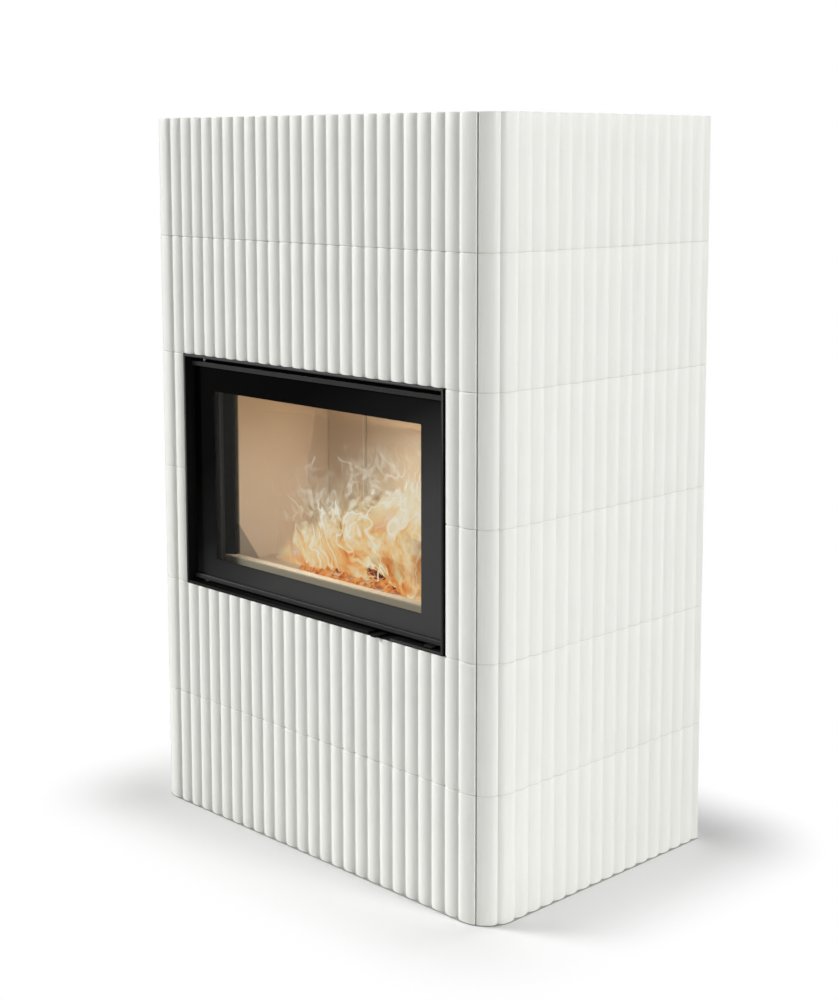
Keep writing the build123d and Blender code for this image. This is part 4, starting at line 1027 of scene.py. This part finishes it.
def mound(name, middle, half_w, half_d, height, rings=14, around=72, seed=0):
    """A low closed heap with an uneven top and outline."""
    shape = bmesh.new()
    rows = []
    for ring in range(1, rings + 1):
        out = ring / rings
        row = []
        for i in range(around):
            turn = 2 * pi * i / around
            edge = 1 + 0.12 * noise.noise(Vector((3 * cos(turn), 3 * sin(turn), seed)))
            x, y = half_w * out * edge * cos(turn), half_d * out * edge * sin(turn)
            bump = noise.noise(Vector((x * 40, y * 40, seed))) * 0.35 + 1
            z = height * (1 - out ** 3) * bump if ring < rings else 0.0
            row.append(shape.verts.new(middle + Vector((x, y, z))))
        rows.append(row)
    top = shape.verts.new(middle + Vector((0, 0, height)))
    for i in range(around):
        k = (i + 1) % around
        shape.faces.new((top, rows[0][i], rows[0][k]))
        for inner, outer in zip(rows, rows[1:]):
            shape.faces.new((inner[i], outer[i], outer[k], inner[k]))
    shape.faces.new(list(reversed(rows[-1])))
    return to_mesh(shape, name)


def coal_tree():
    """Coals: rough lumps strewn over a heap, each with its own turn, size and heat."""
    tree, given = new_tree("Coals", [
        ("Count", "Int"), ("Size", "Float"), ("Seed", "Int"), ("Coal", "Material")])
    seed, size = given["Seed"], given["Size"]
    up = axes_of(add(tree, "GeometryNodeInputNormal"))[2]
    strewn = add(tree, "GeometryNodeDistributePointsOnFaces", {
        "Mesh": given["Geometry"], "Density": given["Count"] * PER_HEAP_AREA,
        "Selection": up.math("GREATER_THAN", 0.3), "Seed": seed})
    marked = store(strewn, "heat", chance(seed, 0.0, 1.0))
    lump = add(tree, "GeometryNodeMeshIcoSphere", {"Radius": 0.5, "Subdivisions": 2})
    turn = chance(seed + 3, (0, 0, 0), (6.28, 6.28, 6.28))
    stretch = chance(seed + 7, (0.6, 0.6, 0.6), (1.5, 1.1, 1.0))
    laid = add(tree, "GeometryNodeInstanceOnPoints", {
        "Points": marked, "Instance": lump, "Rotation": turn,
        "Scale": stretch.vector("SCALE", Scale=size)})
    real = add(tree, "GeometryNodeRealizeInstances", {"Geometry": laid})
    rough = add(tree, "TexNoise", {"Scale": 70.0, "Detail": 2.0}, "Color")
    push = rough.vector("SUBTRACT", (0.5, 0.5, 0.5)).vector("SCALE", Scale=size * 1.1)
    broken = add(tree, "GeometryNodeSetPosition", {"Geometry": real, "Offset": push})
    close_tree(tree, broken, given["Coal"])
    return tree


def flame_tree():
    """Flames: upright curves that sway, swell low down and run out in a thin tip."""
    tree, given = new_tree("Flames", [
        ("Count", "Int"), ("Middle", "Vector"), ("Half width", "Float"), ("Half depth", "Float"),
        ("Height", "Float"), ("Width", "Float"), ("Sway", "Float"), ("Curl", "Float"),
        ("Seed", "Int"), ("Fire", "Material")])
    seed = given["Seed"]
    roots = add(tree, "GeometryNodeMeshLine", {"Count": given["Count"], "Offset": (0, 0, 0)},
                mode="OFFSET", count_mode="TOTAL")
    aside = chance(seed + 1, -1.0, 1.0)
    spot = add(tree, "CombineXYZ", {
        0: aside * given["Half width"], 1: chance(seed + 2, -1.0, 1.0) * given["Half depth"]})
    rooted = add(tree, "GeometryNodeSetPosition",
                 {"Geometry": roots, "Position": spot.vector("ADD", given["Middle"])})
    marked = store(rooted, "tongue", chance(seed + 3, 0.0, 1.0))
    stem = add(tree, "GeometryNodeResampleCurve", {
        "Curve": add(tree, "GeometryNodeCurvePrimitiveLine", {"End": (0, 0, 1)}), "Count": 30})
    lower = 1.0 - abs(aside).math("POWER", 2.0) * 0.55
    tall = given["Height"] * chance(seed + 4, 0.35, 1.0) * lower
    stood = add(tree, "GeometryNodeInstanceOnPoints", {
        "Points": marked, "Instance": stem,
        "Scale": add(tree, "CombineXYZ", {0: 1.0, 1: 1.0, 2: tall})})
    curves = add(tree, "GeometryNodeRealizeInstances", {"Geometry": stood})
    risen = store(curves, "rise", add(tree, "GeometryNodeSplineParameter", out="Factor"))
    rise, tongue = stored(tree, "rise"), stored(tree, "tongue")
    drift = add(tree, "TexNoise", {"W": tongue * 9.0, "Scale": given["Curl"], "Detail": 2.0},
                "Color", noise_dimensions="4D")
    level = drift.vector("SUBTRACT", (0.5, 0.5, 0.5)).vector("MULTIPLY", (1.0, 0.55, 0.35))
    bent = add(tree, "GeometryNodeSetPosition", {
        "Geometry": risen, "Offset": level.vector("SCALE", Scale=given["Sway"] * rise)})
    swell = rise.times_plus(3.0, 0.35) * (1.0 - rise).math("POWER", 1.6)
    thick = swell * given["Width"] * tongue.times_plus(0.9, 0.55)
    tilt = rise.times_plus(2.6, tongue * 6.28)
    twisted = add(tree, "GeometryNodeSetCurveTilt", {"Curve": bent, "Tilt": tilt})
    loop = add(tree, "GeometryNodeCurvePrimitiveCircle", {"Resolution": 10, "Radius": 1.0})
    across = axes_of(add(tree, "GeometryNodeInputPosition"))[0]
    flat = add(tree, "GeometryNodeTransform",
               {"Geometry": store(loop, "rim", abs(across)), "Scale": (1.0, 0.22, 1.0)})
    skin = add(tree, "GeometryNodeCurveToMesh", {
        "Curve": twisted, "Profile Curve": flat, "Fill Caps": True,
        "Scale": thick.math("MAXIMUM", 0.0002)})
    close_tree(tree, skin, given["Fire"])
    return tree


def firewood(name, start, end, radius, seed, along=44, around=28):
    """A burning log: ridged char round a wavering axis, its ends burnt to blunt cones."""
    axis = end - start
    side = axis.cross(Vector((0, 0, 1))).normalized()
    up = side.cross(axis).normalized()
    shape = bmesh.new()
    under = shape.verts.layers.float.new("underside")
    rings = []
    for i in range(along + 1):
        far = i / along
        taper = min(1.0, 4.5 * min(far, 1 - far) + 0.62)
        ring = []
        for j in range(around):
            turn = 2 * pi * j / around
            lobes = noise.noise(Vector((1.6 * cos(turn), 1.6 * sin(turn), far * 3 + seed)))
            ridges = abs(noise.noise(Vector((cos(turn) * 2, sin(turn) * 2, far * 26 + seed))))
            r = radius * taper * (1 + 0.22 * lobes - 0.16 * ridges)
            out = side * cos(turn) + up * sin(turn)
            vert = shape.verts.new(start + axis * far + out * r)
            vert[under] = min(1.0, max(0.0, 0.45 - 0.75 * out.z + 0.3 * lobes))
            ring.append(vert)
        rings.append(ring)
    bridge(shape, rings)
    for ring in (rings[0], rings[-1]):
        shape.faces.new(ring)
    mesh = to_mesh(shape, name)
    mesh.materials.append(FINISHES["char"])
    smooth(mesh, 60)
    return mesh


def curtain(name, middle, half_w, height, thick, seed, across=64, up=30):
    """A closed curtain of gas: two wavy faces that meet at its foot, its ends and its top."""
    shape = bmesh.new()
    fade = shape.verts.layers.float.new("edge")
    for side in (-1, 1):
        grid = []
        for i in range(across + 1):
            u = i / across
            x = half_w * (2 * u - 1)
            column = []
            for j in range(up + 1):
                v = j / up
                wave = 0.05 * noise.noise(Vector((x * 7, v * 1.6, seed)))
                billow = 0.7 + 0.9 * noise.noise(Vector((x * 16, v * 4, seed + side * 5)))
                swell = thick * sin(pi * u) ** 0.5 * sin(pi * v ** 0.6) ** 0.7 * billow
                if i in (0, across) or j in (0, up):
                    swell = 0.0
                vert = shape.verts.new(middle + Vector((x, wave + side * swell, v * height)))
                vert[fade] = min(1.0, 7 * min(u, 1 - u)) * min(1.0, 5 * (1 - v))
                column.append(vert)
            grid.append(column)
        for near, far in zip(grid, grid[1:]):
            for j in range(up):
                shape.faces.new((near[j], far[j], far[j + 1], near[j + 1]))
    bmesh.ops.remove_doubles(shape, verts=shape.verts, dist=1e-6)
    mesh = to_mesh(shape, name)
    mesh.materials.append(FINISHES["veil"])
    smooth(mesh, 180)
    return mesh


class STOVE_OT_fire(bpy.types.Operator):
    """Lays the ash, coals and logs on the hearth and lights the flames"""
    bl_idname = "stove.fire"
    bl_label = "Light fire"

    def execute(self, context):
        s = context.scene.stove_fire
        middle = bed_middle()
        heap = mound("ash_bed", middle, s.bed_half_width, s.bed_half_depth, s.bed_height)
        coals = grow("coals", heap.copy(), coal_tree(), {
            "Count": s.coals, "Size": s.coal_size, "Seed": s.seed, "Coal": FINISHES["coal"]})
        heap.materials.append(FINISHES["ash"])
        smooth(heap, 60)
        piece("ash_bed", heap, "stove_body")
        smooth(coals, 50)
        piece("embers", coals, "stove_body")
        r = s.log_radius
        # Each log's name, its two ends from the bed's middle and its share of the radius.
        logs = (
            ("log_back", (-0.20, 0.050, 0.040), (0.20, 0.034, 0.046), 1.0),
            ("log_front", (0.045, -0.060, 0.036), (0.225, -0.022, 0.042), 0.8),
            ("log_top", (-0.12, 0.052, 0.100), (0.13, -0.048, 0.094), 0.8))
        for seed, (name, start, end, size) in enumerate(logs):
            wood = firewood(name, middle + Vector(start), middle + Vector(end), r * size, seed * 9)
            piece(name, wood, "stove_body")
        for name, depth, seed in (("fire_front", -0.07, 1), ("fire_back", 0.035, 8)):
            veil = curtain(name, middle + Vector((0, depth, 0.004)), s.bed_half_width * 1.08,
                           s.flame_height, 0.022, s.seed + seed)
            # Burning gas throws no shadow.
            piece(name, veil, "stove_body").visible_shadow = False
        flames = grow("tongues", bpy.data.meshes.new("tongues"), flame_tree(), {
            "Count": s.tongues, "Middle": middle + Vector((0.03, 0, 0.7 * s.bed_height)),
            "Half width": s.bed_half_width * 0.75, "Half depth": s.bed_half_depth * 0.9,
            "Height": s.flame_height * 0.6, "Width": s.flame_width * 0.4, "Sway": 0.3,
            "Curl": 11.0, "Seed": s.seed + s.tongues, "Fire": FINISHES["fire"]})
        smooth(flames, 180)
        piece("tongues", flames, "stove_body").visible_shadow = False
        glow = bpy.data.lights.new("fire_glow", "POINT")
        glow.energy, glow.shadow_soft_size, glow.color = s.glow, 0.1, linear("#fff7ee")[:3]
        lamp = bpy.data.objects.new("fire_glow", glow)
        lamp.location = middle + Vector((0, -0.055, 0.19))
        lamp.visible_camera = lamp.visible_glossy = lamp.visible_transmission = False
        context.scene.collection.objects.link(lamp)
        return {"FINISHED"}


# ---- door ----


class DoorSettings(bpy.types.PropertyGroup):
    clear_half_width: length("Clear half width", "From the middle to the printed border", 0.316)
    clear_low: length("Clear from", "Height of the clear window's lower edge", 0.562)
    clear_high: length("Clear to", "Height of the clear window's upper edge", 0.925)
    pane_edge: length("Pane edge", "Ground edge of the pane", 0.0006)


def pane_mesh(low, high, settings):
    """The pane: its faces cut along the printed border, its rim ground round."""
    e = settings.pane_edge
    half, bottom, top = settings.clear_half_width, settings.clear_low, settings.clear_high
    xs = [low.x, -half, half, high.x]
    zs = [low.z, bottom, top, high.z]
    shape = bmesh.new()
    grids = []
    for y, inset in ((low.y, e), (high.y, e)):
        rows = []
        for z in zs:
            z = min(max(z, low.z + inset), high.z - inset)
            rows.append([shape.verts.new((min(max(x, low.x + inset), high.x - inset), y, z))
                         for x in xs])
        grids.append(rows)
    rims = []
    for y in (low.y + e, high.y - e):
        spots = [(x, low.z) for x in xs] + [(high.x, z) for z in zs]
        spots += [(x, high.z) for x in reversed(xs)] + [(low.x, z) for z in reversed(zs)]
        rims.append([shape.verts.new((x, y, z)) for x, z in spots])

    def edge_of(rows):
        right = [row[-1] for row in rows]
        left = [row[0] for row in reversed(rows)]
        return rows[0] + right + list(reversed(rows[-1])) + left

    for rows in grids:
        for j in range(3):
            for i in range(3):
                clear = i == 1 and j == 1
                face = shape.faces.new(
                    (rows[j][i], rows[j][i + 1], rows[j + 1][i + 1], rows[j + 1][i]))
                face.material_index = 0 if clear else 1
    rings = [edge_of(grids[0]), rims[0], rims[1], edge_of(grids[1])]
    for near, far in zip(rings, rings[1:]):
        count = len(near)
        for i in range(count):
            k = (i + 1) % count
            corners = list(dict.fromkeys((near[i], near[k], far[k], far[i])))
            if len(corners) > 2:
                shape.faces.new(corners).material_index = 1
    bmesh.ops.remove_doubles(shape, verts=shape.verts, dist=1e-7)
    return to_mesh(shape, "pane")


class STOVE_OT_door(bpy.types.Operator):
    """Makes the pane and finishes the door's leaf, rails, rope and handle"""
    bl_idname = "stove.door"
    bl_label = "Make door"

    def execute(self, context):
        s = context.scene.stove_door
        low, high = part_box("door_glass")
        pane = pane_mesh(low, high, s)
        pane.materials.append(FINISHES["glass"])
        pane.materials.append(FINISHES["printed"])
        piece("pane", pane, "door", ["door_glass"])
        dress("black", "door_frame", "door_handle", "rail_screws")
        dress("rail", "glass_rail_top", "glass_rail_bottom")
        dress("zinc", "handle_pivot")
        dress("felt", "glass_gasket")
        dress("rope", "door_gasket")
        dress("brass", "hinge_bushes")
        return {"FINISHED"}


# ---- stage ----


def soft_sun(name, azimuth, elevation, strength, width, colour="#ffffff"):
    """A wide soft light from a direction: azimuth 0 is in front, 90 on the right."""
    lamp = bpy.data.lights.new(name, "SUN")
    lamp.energy = strength
    lamp.angle = radians(width)
    lamp.color = linear(colour)[:3]
    obj = bpy.data.objects.new(name, lamp)
    a, e = radians(azimuth), radians(elevation)
    towards = Vector((sin(a) * cos(e), -cos(a) * cos(e), sin(e)))
    obj.rotation_mode = "QUATERNION"
    obj.rotation_quaternion = towards.to_track_quat("Z", "Y")
    bpy.context.scene.collection.objects.link(obj)


def looked_at(tree):
    """One where a ray comes from the camera or by way of a mirror or glass, else nothing."""
    camera, mirror, glass = [add(tree, "LightPath", out=f"Is {kind} Ray")
                             for kind in ("Camera", "Glossy", "Transmission")]
    return camera.math("MAXIMUM", mirror.math("MAXIMUM", glass))


def plain_floor():
    """A wide pale floor that keeps the shade at the stove's foot and is plain white beyond."""
    size = 12.0
    mesh = bpy.data.meshes.new("floor")
    mesh.from_pydata([(-size, -size, 0), (size, -size, 0), (size, size, 0), (-size, size, 0)],
                     [], [(0, 1, 2, 3)])
    material, place = new_finish("white_floor_paint")
    tree = place.tree
    beyond = place.vector("ABSOLUTE").vector("SUBTRACT", (CAD_BOX[1].x, CAD_BOX[1].y, 0.0))
    away = beyond.vector("MAXIMUM", (0.0, 0.0, 0.0)).vector("LENGTH").all()[1]
    far = span(away, 0.0, 1.0, 0.0, SHADE_REACH, "SMOOTHSTEP") * looked_at(tree)
    paint = add(tree, "BsdfDiffuse", {"Color": (0.86, 0.86, 0.86, 1)})
    white = add(tree, "Emission", {"Color": (1, 1, 1, 1), "Strength": 1.0})
    closed(material, add(tree, "MixShader", {0: far, 1: paint, 2: white}))
    mesh.materials.append(material)
    obj = bpy.data.objects.new("floor", mesh)
    bpy.context.scene.collection.objects.link(obj)


def white_room(strength):
    """Even light from all round, plain white where it is looked at."""
    world = bpy.data.worlds.new("room")
    bpy.context.scene.world = world
    world.use_nodes = True
    tree = world.node_tree
    tree.nodes.clear()
    level = span(looked_at(tree), strength, 1.0)
    room = add(tree, "Background", {"Color": (1, 1, 1, 1), "Strength": level})
    add(tree, "OutputWorld", {"Surface": room})


class STOVE_OT_stage(bpy.types.Operator):
    """Sets the floor, the soft lights and the camera at the photographed angle"""
    bl_idname = "stove.stage"
    bl_label = "Set stage"

    def execute(self, context):
        s = context.scene.stove_stage
        plain_floor()
        white_room(s.room_light)
        soft_sun("left_softbox", -61, 25, s.left_light, 22)
        soft_sun("right_softbox", 98, 25, s.right_light, 22)
        soft_sun("rear_softbox", 172, 30, s.rear_light, 30)
        lens = bpy.data.cameras.new("camera")
        lens.lens, lens.shift_x, lens.shift_y = s.lens, s.shift_x, s.shift_y
        camera = bpy.data.objects.new("camera", lens)
        camera.location = s.camera_place
        camera.rotation_euler = (pi / 2 - s.camera_tilt, 0, s.camera_turn)
        context.scene.collection.objects.link(camera)
        context.scene.camera = camera
        context.scene.view_settings.view_transform = "Standard"
        return {"FINISHED"}


# ---- panel and running ----

OPERATORS = (
    STOVE_OT_front_tiles, STOVE_OT_side_tiles, STOVE_OT_casing, STOVE_OT_firebox,
    STOVE_OT_lining, STOVE_OT_fire, STOVE_OT_door, STOVE_OT_stage)
SETTINGS = {"stove_tiles": TileSettings, "stove_fire": FireSettings, "stove_door": DoorSettings,
            "stove_stage": StageSettings}


class STOVE_PT_panel(bpy.types.Panel):
    """Lists the stove's steps in the sidebar"""
    bl_label = "Stove"
    bl_space_type = "VIEW_3D"
    bl_region_type = "UI"
    bl_category = "Stove"

    def draw(self, context):
        for operator in OPERATORS:
            self.layout.operator(operator.bl_idname)


def register():
    for part in (*SETTINGS.values(), *OPERATORS, STOVE_PT_panel):
        bpy.utils.register_class(part)
    for name, group in SETTINGS.items():
        setattr(bpy.types.Scene, name, PointerProperty(type=group))


def unregister():
    for name in SETTINGS:
        delattr(bpy.types.Scene, name)
    for part in reversed((*SETTINGS.values(), *OPERATORS, STOVE_PT_panel)):
        bpy.utils.unregister_class(part)


def main():
    register()
    make_finishes()
    for operator in OPERATORS:
        group, step = operator.bl_idname.split(".")
        getattr(getattr(bpy.ops, group), step)()


if __name__ == "__main__":
    main()
